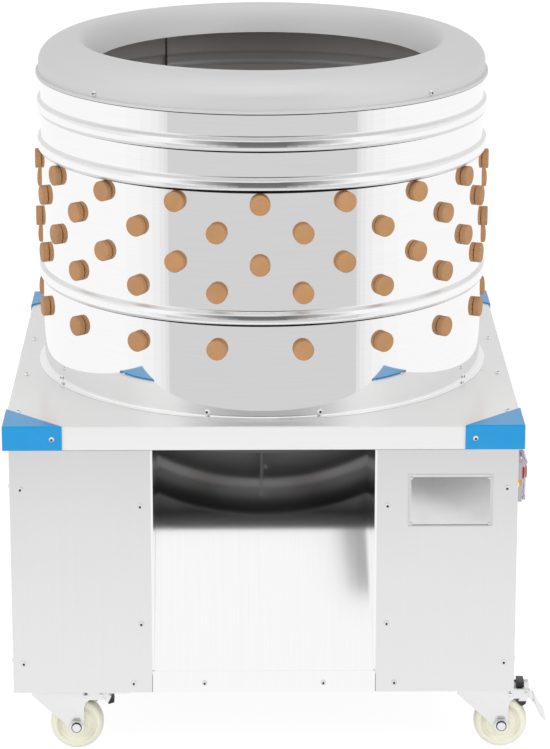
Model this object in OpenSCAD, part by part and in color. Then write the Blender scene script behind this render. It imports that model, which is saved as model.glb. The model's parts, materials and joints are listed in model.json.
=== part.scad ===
// Poultry plucker: a drum lined with rubber fingers over a turning plate, on a wheeled sheet-steel cabinet.
// Millimetres, +Z up. The origin is the middle of the cabinet's underside, and the front faces -Y.

/* [Cabinet] */
// Clearance from the drum's wall to the cabinet's side panels
side_margin = 31; // [26:1:75]
// Clearance from the drum's wall to the cabinet's front and rear panels
front_margin = 31; // [26:1:75]
// Height from the cabinet's underside to the tray's top face
cab_h = 391; // [370:1:440]
// Thickness of the stainless sheet
sheet = 1.5; // [1:0.1:2]
// Leg of the angle posts in the corners
post_leg = 30; // [26:1:40]
// Thickness of the angle posts
post_t = 2; // [1.5:0.1:3]
// Height of the base pan's turned-up edges
base_flange_h = 25; // [22:1:32]
// Radius of the water drain in the middle of the base
drain_r = 18; // [12:1:24]
// Distance of the corner screws from the panel's edge
post_screw_inset = 15; // [12:0.5:20]
// Height of the lower corner screws
low_screw_z = 43.5; // [35:0.5:80]
// Height of the upper corner screws
high_screw_z = 299.5; // [200:0.5:310]

/* [Tray] */
// Depth of the tray's folded edge
skirt_h = 34; // [30:1:50]
// How far the tray stands out past the cabinet
tray_overhang = 6; // [4:0.5:12]
// Leg of the triangular corner protectors
protector_leg = 82; // [60:1:100]
// Thickness of the corner protectors
protector_t = 2; // [1:0.1:3]
// Depth of the protectors' side faces
protector_drop = 33; // [24:1:34]
// Distance of the tray screws from the tray's edge
tray_screw_inset = 16; // [12:0.5:20]
// Distance of the end tray screws from the cabinet's front and rear
tray_screw_end = 73; // [68:0.5:90]

/* [Chute] */
// Width of the opening between the front panels
chute_w = 312; // [260:1:340]
// How far the chute walls stand inside the opening's edges
chute_reveal = 3; // [2:0.5:6]
// Height of the lip at the foot of the chute
lip_h = 32; // [20:1:40]
// Gap between the chute walls and the front cross rail
chute_rail_gap = 5; // [3:0.5:20]
// Width of the chute walls' front flanges
chute_flange_w = 34; // [24:1:40]
// Distance of the inner panel screws from the opening's edge
chute_screw_inset = 14.5; // [10:0.5:20]
// Height of the lower inner panel screws
chute_low_screw_z = 102; // [60:1:140]
// Height of the upper inner panel screws
chute_high_screw_z = 274.5; // [200:0.5:300]
// Height of the lip screws
lip_screw_z = 14; // [10:1:18]
// Distance of the lip screws from the middle
lip_screw_x = 83; // [40:1:120]

/* [Drum] */
// Outer radius of the drum wall
drum_r = 319; // [300:1:360]
// Height of the drum from the tray to the ring's hem
drum_h = 426.5; // [410:0.5:500]
// Length of the drum wall hidden inside the ring
drum_tuck = 16; // [14:1:20]
// Width of the out-turned foot flange
foot_flange_w = 8; // [5:0.5:12]
// Height of each swaged bead
bead_h = 22; // [16:1:26]
// How far a bead stands out of the wall
bead_out = 6; // [3:0.5:8]
// Height of the lower bead above the tray
lower_bead_z = 142; // [130:1:148]
// Height of the middle bead above the tray
middle_bead_z = 329; // [328:1:338]
// Height of the upper bead above the tray
upper_bead_z = 385; // [375:1:395]
// Height of the screws at the drum's foot above the tray
foot_screw_z = 7; // [6.5:0.5:9]

/* [Ring] */
// Gap between the ring's wall and the drum
ring_fit = 0.5; // [0.3:0.1:1]
// Height of the ring's straight wall
ring_wall_h = 18.5; // [14:0.5:24]
// Radius of the ring's crest
crest_r = 268; // [260:1:290]
// Height of the crest above the hem
crest_h = 51; // [40:1:70]
// Radius of the mouth
mouth_r = 240; // [225:1:250]
// Height of the mouth's edge above the hem
mouth_h = 11.5; // [5:0.5:20]
// Height of the folded hem
hem_h = 5.5; // [4:0.5:7]
// How far the hem stands out
hem_out = 4; // [2:0.5:5]
// Height of the ring's screws above the hem's foot
ring_screw_z = 10.5; // [10:0.5:12]

/* [Rubber fingers] */
// Fingers in each row of the drum wall
row_count = 17; // [12:1:18]
// Height of the lowest row above the tray
row_1_z = 98; // [90:0.5:105]
// Height of the second row above the tray
row_2_z = 178; // [175:0.5:182]
// Height of the third row above the tray
row_3_z = 218; // [214:0.5:222]
// Height of the fourth row above the tray
row_4_z = 262; // [258:0.5:266]
// Height of the highest row above the tray
row_5_z = 303; // [298:0.5:303]
// Radius of a finger's head
head_r = 14.2; // [13.5:0.1:15]
// Thickness of a finger's head
head_h = 9; // [6:0.5:12]
// Radius of a finger's neck
neck_r = 9.8; // [8:0.1:10.5]
// Gap round a finger's neck in its hole
neck_fit = 0.2; // [0.1:0.05:0.4]
// Radius of the collar behind the sheet
collar_r = 13; // [11.5:0.5:13.5]
// Thickness of the collar behind the sheet
collar_t = 5; // [3:0.5:7]
// Length of a finger past its collar
finger_l = 86; // [60:1:90]
// Radius at a finger's root
root_r = 8.4; // [7:0.1:9]
// Radius at a finger's tip
tip_r = 6; // [4.5:0.1:6.5]
// Ribs along a finger
rib_count = 6; // [3:1:8]
// How far a rib stands out
rib_out = 1.4; // [0.6:0.1:1.8]

/* [Turning plate] */
// Gap between the turning plate and the drum's wall
plate_gap = 22; // [15:1:35]
// Thickness of the turning plate
plate_t = 3; // [2:0.5:5]
// Height of the plate's underside above the tray
plate_lift = 12; // [8:1:20]
// Radius of the plate's inner ring of fingers
inner_ring_r = 80; // [78:1:86]
// Distance from the plate's outer ring of fingers to the wall fingers' tips
ring_tip_gap = 25; // [20:1:40]
// Radius of the hub's flange
hub_flange_r = 60; // [54:1:61]
// Thickness of the hub's flange
hub_flange_t = 10; // [8:1:14]
// Radius of the hub's boss
hub_boss_r = 32; // [28:1:36]
// Radius of the circle of hub bolts
hub_bolt_circle_r = 46; // [44:1:47]
// Radius where a sweeper begins
sweeper_in_r = 112; // [105:1:120]
// Distance from a sweeper's end to the plate's edge
sweeper_inset = 7; // [3:1:33]
// Thickness of the sweepers
sweeper_t = 3; // [2:0.5:5]
// Width of a sweeper's fixing flange
sweeper_flange_w = 20; // [16:1:24]
// Depth of the pan under the tray's top face
pan_drop = 50; // [46:1:60]
// Gap between the sweepers and the pan's floor
sweeper_gap = 8; // [5:0.5:15]
// Height of the pan's collar above the tray
pan_collar_h = 16; // [14:0.5:17]

/* [Drive] */
// Radius of the main shaft
shaft_r = 20; // [17:0.5:22]
// Outer radius of the main bearings
bearing_r = 40; // [34:0.5:42]
// Width of the main bearings
bearing_w = 18; // [14:1:22]
// Wall of the bearing housing
housing_wall = 8; // [6:0.5:12]
// Radius of the housing's flange
housing_flange_r = 86; // [80:1:92]
// Thickness of the housing's flange
housing_flange_t = 12; // [10:1:16]
// Radius of the circle of housing bolts
housing_bolt_circle_r = 68; // [64:0.5:72]
// Thickness of the bearing plate
bearing_plate_t = 8; // [6:0.5:12]
// Side of the square cross rails
rail_side = 40; // [30:1:50]
// Wall of the cross rails
rail_wall = 2; // [1.5:0.1:3]
// Distance of each cross rail from the middle
rail_y = 85; // [82:1:88]
// Pitch radius of the driven pulley
driven_pitch_r = 115; // [100:1:115]
// Pitch radius of the motor pulley
motor_pitch_r = 25; // [24:0.5:32]
// Gap between the motor's capacitor box and the rear panel
motor_rear_gap = 19.3; // [15:0.1:22]
// Height of the belt's middle above the cabinet's underside
belt_z = 47; // [44:1:55]
// Width of the V-belt
belt_w = 17; // [13:0.5:20]
// Depth of the V-belt
belt_depth = 11; // [8:0.5:12]

/* [Motor] */
// Radius of the motor's frame
motor_r = 62; // [56:1:66]
// How far the cooling fins stand out
fin_out = 7; // [4:0.5:9]
// Clearance from the motor's cowl to the pan above it
motor_headroom = 42; // [20:1:60]
// Radius of the motor shaft
motor_shaft_r = 12; // [9.5:0.5:14]
// Height of the motor stand's top face
stand_h = 93; // [88:1:100]
// Thickness of the motor stand
stand_t = 5; // [4:0.5:8]
// Half the width of the motor stand
stand_half_w = 105; // [98:1:115]
// Radius of the circle of motor bolts
motor_bolt_circle_r = 57.5; // [54:0.5:60]

/* [Casters] */
// Height of a caster from the floor to the cabinet
caster_h = 100; // [98:1:120]
// Radius of a caster wheel
wheel_r = 37.5; // [34:0.5:38]
// Width of a caster wheel's tread
wheel_w = 28; // [24:1:29]
// Distance from the swivel to the axle
caster_trail = 35.5; // [34:0.5:38]
// Distance of the swivels from the cabinet's sides
caster_inset = 50; // [48:1:60]
// Length of the caster plate
caster_plate_l = 92; // [90:1:95]
// Width of the caster plate
caster_plate_w = 66; // [64:1:70]
// Thickness of the caster plate
caster_plate_t = 3; // [2.5:0.1:4]
// Gap between the fork's cheeks
fork_gap = 33; // [32:0.5:36]
// Thickness of the fork's cheeks
fork_t = 2.5; // [2:0.1:4]
// Radius of the axle bolt
axle_r = 6; // [5:0.5:6.5]
// Swing of a brake pedal in degrees
pedal_swing = 65; // [30:1:65]

/* [Switch] */
// Distance of the switch from the cabinet's middle towards the front
switch_y = 200; // [120:1:240]
// Height of the switch's middle
switch_z = 266; // [200:1:290]
// Width of the switch housing
switch_w = 50; // [46:1:56]
// Height of the switch housing
switch_h = 58; // [56:1:62]
// How far the switch housing stands out
switch_t = 17; // [10:0.5:20]
// Radius of the stop button
stop_r = 11; // [9:0.5:11.5]
// Radius of the start button
start_r = 7; // [5:0.5:7.5]
// Travel of both buttons
button_travel = 4; // [2:0.5:4]

/* [Fittings] */
// Radius of a sheet-metal screw's shank
screw_r = 2; // [1.5:0.1:2.5]
// Radius of a sheet-metal screw's head
screw_head_r = 4.2; // [3.5:0.1:5]
// Height of a sheet-metal screw's head
screw_head_h = 2.6; // [2:0.1:3]
// Radius of a machine bolt's shank
bolt_r = 4; // [3:0.25:4.5]
// Distance of the rating plate from the sides of its panel
rating_margin = 38; // [37:1:50]
// Height of the rating plate
rating_h = 76; // [60:1:80]
// Radius of the cord's way through the gland
gland_bore_r = 5; // [4:0.25:6]
// Distance of the gland from the middle of the rear panel
gland_x = 250; // [200:1:280]
// Height of the gland
gland_z = 60; // [40:1:90]

/* [Hidden] */

// Facets of round parts, and a reach for cuts that go right through
$fn = 64;
through = 400;
// Clearances: running shafts, parts that turn close to others, plain holes, and the seat of a curved wall
run_fit = 0.05;
turn_gap = 0.4;
hole_fit = 0.2;
seat_gap = 0.35;

// Cabinet faces and levels
half_w = drum_r + side_margin;
half_d = drum_r + front_margin;
in_w = half_w - sheet;
in_d = half_d - sheet;
tray_under = cab_h - sheet;
chute_in = chute_w / 2 - chute_reveal;
screw_l = sheet + 5;
tray_screw_pitch = (2 * half_d - 2 * tray_screw_end) / 3;

// Drum, pan and turning plate
pan_r = drum_r - sheet - 0.3;
pan_in_r = pan_r - sheet;
pan_z = cab_h - pan_drop;
tray_hole_r = pan_r + 0.2;
plate_z = cab_h + plate_lift;
plate_top = plate_z + plate_t;
plate_r = drum_r - plate_gap;
sweeper_out_r = plate_r - sweeper_inset;
finger_hole_r = neck_r + neck_fit;
finger_tip_t = 2;
wall_tip_r = drum_r - sheet - seat_gap - collar_t - finger_l - finger_tip_t;
outer_ring_r = wall_tip_r - ring_tip_gap;
middle_ring_r = (inner_ring_r + outer_ring_r) / 2;
foot_screw_angles = [14, 64, 116, 166];
ring_screw_angles = [46, 134];
sweeper_count = 4;

// Chute walls up to the front cross rail, and the floor's upper end under the pan
chute_wall_end = -rail_y - rail_side / 2 - chute_rail_gap;
chute_top_y = chute_wall_end - 20;
chute_angle = atan((pan_z - lip_h) / (chute_top_y + half_d));

// Bearing housing and its supports, stacked under the pan
hex_head_h = 1.3 * bolt_r;
nut_h = 1.6 * bolt_r;
hex_r = 1.9 * bolt_r;
flange_top = pan_z - hex_head_h - 2;
bearing_plate_top = flange_top - housing_flange_t;
rail_top = bearing_plate_top - bearing_plate_t;
housing_r = bearing_r + housing_wall;
housing_top = pan_z + sheet + 12;
seal_t = 8;
upper_bearing_z = housing_top - seal_t - bearing_w;
housing_low = belt_z + 40;
hub_low = housing_top + 4;
shaft_low = belt_z - 25;
bearing_plate_half = rail_y + 30;

// Belt and pulleys
groove_slope = 19;
belt_gap = 0.3;
rim_half = 0.85 * belt_w;
box_t = 38;
shaft_distance = half_d - sheet - motor_rear_gap - box_t - seat_gap - fin_out - motor_r;
belt_lean = asin((driven_pitch_r - motor_pitch_r) / shaft_distance);

// Motor stack, shaft down, on its stand
motor_flange_t = 10;
frame_low = stand_h + motor_flange_t;
motor_cap_t = 12;
fan_gap = 6;
fan_t = 16;
cowl_top = pan_z - motor_headroom;
frame_top = cowl_top - 12 - fan_t - fan_gap - motor_cap_t;
motor_l = frame_top - frame_low;
rotor_r = 40;
rotor_end = 12;
stand_depth_half = 88;

// Caster levels, from the cabinet's underside down
floor_z = -caster_h;
axle_z = floor_z + wheel_r;
kingpin_r = 6;
kingpin_head_r = 9;
race_r = 22;
race_h = 6;
yoke_top = -caster_plate_t - race_h - turn_gap;
yoke_t = 6;
fork_back = 27;
fork_ear = 7;
pedal_reach = 35.3;
pedal_drop = 7.6;
pedal_x = caster_trail + pedal_reach;
pedal_z = yoke_top - pedal_drop;
pedal_pin_r = 3;
swivel_x = half_w - caster_inset;
swivel_y = half_d - caster_inset;
caster_bolt_x = caster_plate_l / 2 - 9;
caster_bolt_y = caster_plate_w / 2 - 9;

// Switch levels, out from the right side panel
stop_dz = 9;
start_dz = -14;
back_side = 8.5;
back_end = 4.5;
flap_t = 2.5;
flap_x = half_w + switch_t + 3;
flap_pin_x = flap_x + flap_t / 2;
flap_pin_z = switch_z + switch_h / 2 + 1;
flap_pin_r = 1.5;
flap_barrel_r = 3;
flap_half_w = switch_w / 2 - 6;
stop_out = 8;
button_collar = 1.5;
button_l = 10;

// Rating plate, in the middle of the upper part of the front right panel
rating_w = half_w - chute_w / 2 - 2 * rating_margin;
rating_x = (half_w + chute_w / 2) / 2 + 4;
rating_z = cab_h - 109;
rating_t = 0.8;
rivet_inset = 5;

steel = "lightgray";
zinc = "silver";
rubber = "peru";

// Box between two corners
module slab(x, y, z) {
    translate([x[0], y[0], z[0]])
        cube([x[1] - x[0], y[1] - y[0], z[1] - z[0]]);
}

// The same shape on both sides of the middle plane
module both_sides() {
    children();
    mirror([1, 0, 0])
        children();
}

// The same shape on the left and right, and at the front and rear
module four_corners() {
    both_sides()
        children();
    mirror([0, 1, 0])
        both_sides()
            children();
}

// The shape turned to an angle from the front, seen from above
module from_front(angle) {
    rotate([0, 0, angle - 90])
        children();
}

// Shapes that point along +Z turned to point out of each face
module out_front() {
    rotate([90, 0, 0])
        children();
}

module out_rear() {
    rotate([-90, 0, 0])
        children();
}

module out_right() {
    rotate([0, 90, 0])
        children();
}

// Domed socket screw, head up, with the seat of its head at zero
module button_screw() {
    flat_r = 0.55 * screw_head_r;
    edge_h = 0.35 * screw_head_h;
    difference() {
        rotate_extrude($fn = 40)
            polygon([[0, -screw_l], [screw_r, -screw_l], [screw_r, 0], [screw_head_r, 0],
                [screw_head_r, edge_h], [flat_r, screw_head_h], [0, screw_head_h]]);
        translate([0, 0, screw_head_h / 2])
            cylinder(r = screw_r / 1.6, h = screw_head_h, $fn = 6);
    }
}

// Hole for a screw, along Z
module screw_hole(reach = 20) {
    cylinder(r = screw_r + hole_fit, h = reach, center = true, $fn = 40);
}

// Hexagon bolt with its nut, head up and its seat at zero, clamping the given thickness
module hex_bolt(grip) {
    cylinder(r = hex_r, h = hex_head_h, $fn = 6);
    translate([0, 0, -grip - nut_h])
        cylinder(r = bolt_r, h = grip + nut_h);
    translate([0, 0, -grip - nut_h])
        cylinder(r = hex_r, h = nut_h, $fn = 6);
}

// Hole for a machine bolt, along Z
module bolt_hole(reach = 60) {
    cylinder(r = bolt_r + hole_fit, h = reach, center = true);
}

// Places of the screws that hold the panels

module post_screws(half) {
    for (x = [-1, 1], z = [low_screw_z, high_screw_z])
        translate([x * (half - post_screw_inset), 0, z])
            children();
}

module chute_screws() {
    for (z = [chute_low_screw_z, chute_high_screw_z])
        translate([chute_w / 2 + chute_screw_inset, 0, z])
            children();
}

module foot_screws() {
    translate([chute_w / 2 + chute_flange_w - 8, 0, lip_screw_z])
        children();
}

module lip_screws() {
    for (x = [-1, 1])
        translate([x * lip_screw_x, 0, lip_screw_z])
            children();
}

module side_places() {
    rotate([0, 0, 90])
        post_screws(half_d)
            children();
}

module tray_side_screws() {
    for (i = [0 : 3])
        translate([half_w + tray_overhang - tray_screw_inset, tray_screw_pitch * (i - 1.5) - 9, cab_h])
            children();
}

module protector_screws() {
    reach_x = half_w + tray_overhang + protector_t;
    reach_y = half_d + tray_overhang + protector_t;
    drop_z = cab_h - skirt_h / 2;
    translate([reach_x - protector_leg + 14, -reach_y, drop_z])
        out_front()
            children();
    translate([reach_x, -reach_y + protector_leg - 14, drop_z])
        out_right()
            children();
}

module drum_foot_places() {
    for (a = foot_screw_angles, s = [-1, 1])
        from_front(s * a)
            translate([drum_r, 0, cab_h + foot_screw_z])
                out_right()
                    children();
}

module ring_screw_places() {
    for (a = ring_screw_angles, s = [-1, 1])
        from_front(s * a)
            translate([drum_r + ring_fit + sheet, 0, cab_h + drum_h + ring_screw_z])
                out_right()
                    children();
}

// Places of the wall fingers: three staggered rows and two in line with the front
module wall_finger_places() {
    pitch = 360 / row_count;
    row_turn = 0.8;
    rows = [[row_1_z, 0.5], [row_2_z, 0.5], [row_3_z, 0], [row_4_z, 0.5], [row_5_z, 0]];
    for (row = rows, i = [0 : row_count - 1])
        from_front((i + row[1]) * pitch - row_turn)
            translate([drum_r, 0, cab_h + row[0]])
                out_right()
                    children();
}

// Places of the plate fingers: three rings that leave a clear line for each sweeper
module plate_finger_places() {
    rings = [[inner_ring_r, 2], [middle_ring_r, 3], [outer_ring_r, 5]];
    for (ring = rings, i = [0 : sweeper_count * ring[1] - 1])
        rotate([0, 0, (i + 0.5) * 360 / (sweeper_count * ring[1])])
            translate([ring[0], 0, plate_z])
                rotate([180, 0, 0])
                    children();
}

module hub_bolt_places() {
    for (i = [0 : 5])
        rotate([0, 0, 60 * i])
            translate([hub_bolt_circle_r, 0, plate_top])
                children();
}

module housing_bolt_places() {
    for (i = [0 : 3])
        rotate([0, 0, 45 + 90 * i])
            translate([housing_bolt_circle_r, 0, flange_top])
                children();
}

module rail_bolt_places() {
    for (x = [-1, 1], y = [-1, 1])
        translate([x * (bearing_plate_half - 10), y * rail_y, bearing_plate_top])
            children();
}

module motor_bolt_places() {
    for (i = [0 : 3])
        translate([0, shaft_distance, frame_low])
            rotate([0, 0, 45 + 90 * i])
                translate([motor_bolt_circle_r, 0, 0])
                    children();
}

module stand_bolt_places() {
    for (x = [-1, 1], y = [-1, 1])
        translate([x * (stand_half_w + 14), shaft_distance + y * (stand_depth_half - 18), sheet + stand_t])
            children();
}

module caster_bolt_places() {
    for (x = [-1, 1], y = [-1, 1], i = [-1, 1], j = [-1, 1])
        translate([x * swivel_x + i * caster_bolt_x, y * swivel_y + j * caster_bolt_y, -caster_plate_t])
            rotate([180, 0, 0])
                children();
}

// Cabinet

module base_pan() {
    edge_x = in_w - post_leg - 1;
    edge_y = in_d - post_leg - 1;
    color(steel)
        difference() {
            union() {
                slab([-in_w, in_w], [-in_d, in_d], [0, sheet]);
                both_sides()
                    slab([in_w - sheet, in_w], [-edge_y, edge_y], [0, base_flange_h]);
                slab([-edge_x, edge_x], [-in_d, -in_d + sheet], [0, base_flange_h]);
                slab([-edge_x, edge_x], [in_d - sheet, in_d], [0, base_flange_h]);
            }
            translate([0, 0, -1])
                cylinder(r = drain_r, h = sheet + 2, $fn = 64);
            caster_bolt_places()
                bolt_hole();
            stand_bolt_places()
                bolt_hole();
            translate([0, -in_d, 0])
                out_front()
                    front_low_holes();
        }
}

// Holes along the front's lower edge, for the lip and the panels' foot screws
module front_low_holes() {
    for (x = [lip_screw_x, chute_w / 2 + chute_flange_w - 8], s = [-1, 1])
        translate([s * x, lip_screw_z, 0])
            screw_hole();
}

module corner_posts() {
    color(steel)
        difference() {
            four_corners() {
                slab([in_w - post_leg, in_w], [-in_d, -in_d + post_t], [sheet, tray_under]);
                slab([in_w - post_t, in_w], [-in_d, -in_d + post_leg], [sheet, tray_under]);
            }
            post_screws(half_w)
                rotate([90, 0, 0])
                    screw_hole(3 * half_d);
            side_places()
                rotate([90, 0, 0])
                    screw_hole(3 * half_w);
        }
}

// Side panel on the right, without its cutouts
module side_panel() {
    difference() {
        slab([in_w, half_w], [-in_d, in_d], [0, tray_under]);
        translate([half_w, 0, 0])
            side_places()
                rotate([90, 0, 0])
                    screw_hole();
    }
}

module left_side_panel() {
    color(steel)
        mirror([1, 0, 0])
            side_panel();
}

module right_side_panel() {
    color(steel)
        difference() {
            side_panel();
            slab([in_w - 1, half_w + 1],
                [-switch_y - switch_w / 2 + back_side - 0.5, -switch_y + switch_w / 2 - back_side + 0.5],
                [switch_z - switch_h / 2 + back_end - 0.5, switch_z + switch_h / 2 - back_end + 0.5]);
        }
}

// Rear panel with its cooling slots and the hole for the cord's gland
module rear_panel() {
    slot_w = 90;
    slot_h = 6;
    slot_pitch = 16;
    color(steel)
        difference() {
            slab([-half_w, half_w], [in_d, half_d], [0, tray_under]);
            translate([0, half_d, 0])
                post_screws(half_w)
                    rotate([90, 0, 0])
                        screw_hole();
            for (x = [-1, 1], i = [0 : 6])
                translate([x * 70 - slot_w / 2, in_d - 1, frame_low + 10 + i * slot_pitch])
                    cube([slot_w, sheet + 2, slot_h]);
            translate([gland_x, half_d, gland_z])
                rotate([90, 0, 0])
                    cylinder(r = gland_bore_r + 5 + hole_fit, h = 20, center = true);
        }
}

// Front panel on the right of the chute, with its screw holes
module front_panel() {
    difference() {
        slab([chute_w / 2, half_w], [-half_d, -in_d], [0, tray_under]);
        translate([0, -half_d, 0]) {
            post_screws(half_w)
                panel_screw_hole();
            chute_screws()
                panel_screw_hole();
            foot_screws()
                panel_screw_hole();
        }
    }
}

module panel_screw_hole() {
    rotate([90, 0, 0])
        screw_hole();
}

module front_left_panel() {
    color(steel)
        mirror([1, 0, 0])
            front_panel();
}

module front_right_panel() {
    color(steel)
        difference() {
            front_panel();
            rivet_places()
                panel_screw_hole();
        }
}

module panel_screws() {
    color(zinc) {
        translate([0, -half_d, 0]) {
            post_screws(half_w)
                out_front()
                    button_screw();
            both_sides() {
                chute_screws()
                    out_front()
                        button_screw();
                foot_screws()
                    out_front()
                        button_screw();
            }
            lip_screws()
                out_front()
                    button_screw();
        }
        translate([0, half_d, 0])
            post_screws(half_w)
                out_rear()
                    button_screw();
        translate([half_w, 0, 0])
            side_places()
                out_front()
                    button_screw();
        translate([-half_w, 0, 0])
            side_places()
                out_rear()
                    button_screw();
    }
}

// Tray

module top_tray() {
    out_x = half_w + tray_overhang;
    out_y = half_d + tray_overhang;
    color(steel)
        difference() {
            slab([-out_x, out_x], [-out_y, out_y], [cab_h - skirt_h, cab_h]);
            slab([-out_x + sheet, out_x - sheet], [-out_y + sheet, out_y - sheet], [0, tray_under]);
            cylinder(r = tray_hole_r, h = 3 * cab_h, center = true, $fn = 180);
            both_sides()
                tray_side_screws()
                    screw_hole();
            four_corners()
                protector_screws()
                    screw_hole();
        }
}

module tray_screws() {
    color(zinc) {
        both_sides()
            tray_side_screws()
                button_screw();
        four_corners()
            protector_screws()
                button_screw();
        drum_foot_places()
            translate([0, 0, run_fit])
                button_screw();
    }
}

// Painted plates over the tray's corners: a triangle on top and a face down each side
module corner_protectors() {
    in_x = half_w + tray_overhang;
    in_y = half_d + tray_overhang;
    out_x = in_x + protector_t;
    out_y = in_y + protector_t;
    color("deepskyblue")
        difference() {
            four_corners() {
                translate([0, 0, cab_h])
                    linear_extrude(protector_t)
                        polygon([[out_x, -out_y], [out_x, -out_y + protector_leg],
                            [out_x - protector_leg, -out_y]]);
                slab([out_x - protector_leg, out_x], [-out_y, -in_y], [cab_h - protector_drop, cab_h]);
                slab([in_x, out_x], [-out_y, -out_y + protector_leg], [cab_h - protector_drop, cab_h]);
            }
            four_corners()
                protector_screws()
                    screw_hole();
        }
}

// Rating plate

module rivet_places() {
    reach_x = rating_w / 2 - rivet_inset;
    reach_z = rating_h / 2 - rivet_inset;
    for (x = [-1, 1], z = [-1, 1])
        translate([rating_x + x * reach_x, -half_d, rating_z + z * reach_z])
            children();
}

module rating_plate() {
    color("gray")
        difference() {
            slab([rating_x - rating_w / 2, rating_x + rating_w / 2], [-half_d - rating_t, -half_d],
                [rating_z - rating_h / 2, rating_z + rating_h / 2]);
            rivet_places()
                panel_screw_hole();
        }
}

module rating_plate_rivets() {
    color(zinc)
        rivet_places()
            translate([0, -rating_t, 0])
                out_front()
                    rotate_extrude($fn = 40)
                        polygon([[0, -4], [screw_r - 0.3, -4], [screw_r - 0.3, 0], [screw_r + 0.6, 0],
                            [screw_r, 0.9], [0, 1.2]]);
}

// Drum

// Outline of the wall's outer or inner side from the foot to the top, with its swaged beads
function bead_points(z, r) = [for (i = [0 : 10])
    [r + bead_out * pow(sin(18 * i), 2), z - bead_h / 2 + bead_h * i / 10]];

function wall_side(r) = concat(bead_points(lower_bead_z, r), bead_points(middle_bead_z, r),
    bead_points(upper_bead_z, r));

function reversed(list) = [for (i = [len(list) - 1 : -1 : 0]) list[i]];

module drum_shell() {
    top = drum_h + drum_tuck;
    flange_r = drum_r + foot_flange_w;
    color(steel)
        difference() {
            translate([0, 0, cab_h])
                rotate_extrude($fn = 180)
                    polygon(concat([[drum_r - sheet, 0], [flange_r, 0], [flange_r, sheet], [drum_r, sheet]],
                        wall_side(drum_r), [[drum_r, top], [drum_r - sheet, top]],
                        reversed(wall_side(drum_r - sheet))));
            wall_finger_places()
                cylinder(r = finger_hole_r, h = 40, center = true);
            drum_foot_places()
                screw_hole();
            ring_screw_places()
                screw_hole();
        }
}

// Quarter of an ellipse about the crest's radius, from the wall to the crest
function arch(across, up, z) = [for (i = [0 : 10])
    [crest_r + across * cos(9 * i), z + up * sin(9 * i)]];

// Curve that falls away inwards from the crest, ever steeper
function fall(across, up, z) = [for (i = [1 : 10])
    [crest_r - across * i / 10, z + up * (1 - pow(i / 10, 2))]];

module top_ring() {
    wall_r = drum_r + ring_fit + sheet;
    outer = concat(arch(wall_r - crest_r, crest_h - ring_wall_h, ring_wall_h),
        fall(crest_r - mouth_r, crest_h - mouth_h, mouth_h));
    inner = concat(arch(wall_r - crest_r - sheet, crest_h - ring_wall_h - sheet, ring_wall_h),
        fall(crest_r - mouth_r - sheet, crest_h - mouth_h - sheet, mouth_h));
    hem = [[wall_r - sheet, 0], [wall_r + hem_out, 0], [wall_r + hem_out, hem_h], [wall_r, hem_h]];
    color(steel)
        difference() {
            translate([0, 0, cab_h + drum_h])
                rotate_extrude($fn = 180)
                    polygon(concat(hem, outer, reversed(inner)));
            ring_screw_places()
                screw_hole();
        }
}

module ring_screws() {
    color(zinc)
        ring_screw_places()
            translate([0, 0, run_fit])
                button_screw();
}

// Rubber finger through a sheet whose outer face is at zero: head up, ribbed finger down
module rubber_finger(wall) {
    low = -wall - seat_gap;
    body = low - collar_t;
    step = finger_l / (rib_count + 1);
    slope = (root_r - tip_r) / finger_l;
    ribs = [for (i = [1 : rib_count]) let (d = i * step, r = root_r - slope * d)
        each [[r, body - d + 2.5], [r + rib_out, body - d + 1],
            [r + rib_out, body - d - 1], [r, body - d - 2.5]]];
    rotate_extrude($fn = 32)
        polygon(concat([[0, head_h], [head_r - 1.5, head_h], [head_r, head_h - 1.5],
            [head_r, run_fit], [neck_r, run_fit], [neck_r, low],
            [collar_r, low], [collar_r, body], [root_r, body]],
            ribs, [[tip_r, body - finger_l], [tip_r - finger_tip_t, body - finger_l - finger_tip_t],
            [0, body - finger_l - finger_tip_t]]));
}

module wall_fingers() {
    color(rubber)
        wall_finger_places()
            rubber_finger(sheet);
}

// Pan under the turning plate, with a collar inside the drum and a way out to the chute
module feather_pan() {
    color(steel)
        difference() {
            union() {
                translate([0, 0, pan_z])
                    rotate_extrude($fn = 180)
                        polygon([[pan_in_r, 0], [pan_r, 0], [pan_r, pan_drop + pan_collar_h],
                            [pan_in_r, pan_drop + pan_collar_h]]);
                difference() {
                    translate([0, 0, pan_z])
                        cylinder(r = pan_r - sheet / 2, h = sheet, $fn = 180);
                    slab([-chute_in, chute_in], [-pan_r, chute_top_y], [pan_z - 1, pan_z + sheet + 1]);
                    cylinder(r = housing_r + hole_fit, h = 3 * cab_h, center = true);
                }
            }
            drum_foot_places()
                screw_hole();
        }
}

// Chute

module chute_floor() {
    rise = sheet / sin(chute_angle);
    top_y = chute_top_y;
    color(steel) {
        difference() {
            union() {
                rotate([90, 0, 90])
                    linear_extrude(2 * chute_in, center = true)
                        polygon([[-half_d, lip_h], [top_y, pan_z], [top_y + rise, pan_z],
                            [-half_d + rise, lip_h]]);
                slab([-chute_w / 2 + 0.5, chute_w / 2 - 0.5], [-half_d, -in_d], [0, lip_h]);
            }
            translate([0, -half_d, 0])
                lip_screws()
                    panel_screw_hole();
        }
    }
}

// Wall on the right of the chute, with the flange that carries the front panel's inner edge
module chute_wall() {
    wall_x = chute_in + sheet;
    difference() {
        union() {
            slab([chute_in, wall_x], [-in_d, chute_wall_end], [sheet, pan_z]);
            slab([chute_in, wall_x + chute_flange_w], [-in_d, -in_d + sheet],
                [base_flange_h + 1, cab_h - sheet - 1]);
        }
        slab([chute_in - 1, wall_x + 1], [-in_d - 1, -in_d + sheet + 0.5], [0, base_flange_h + 1]);
        translate([0, -in_d, 0])
            chute_screws()
                panel_screw_hole();
    }
}

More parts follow.
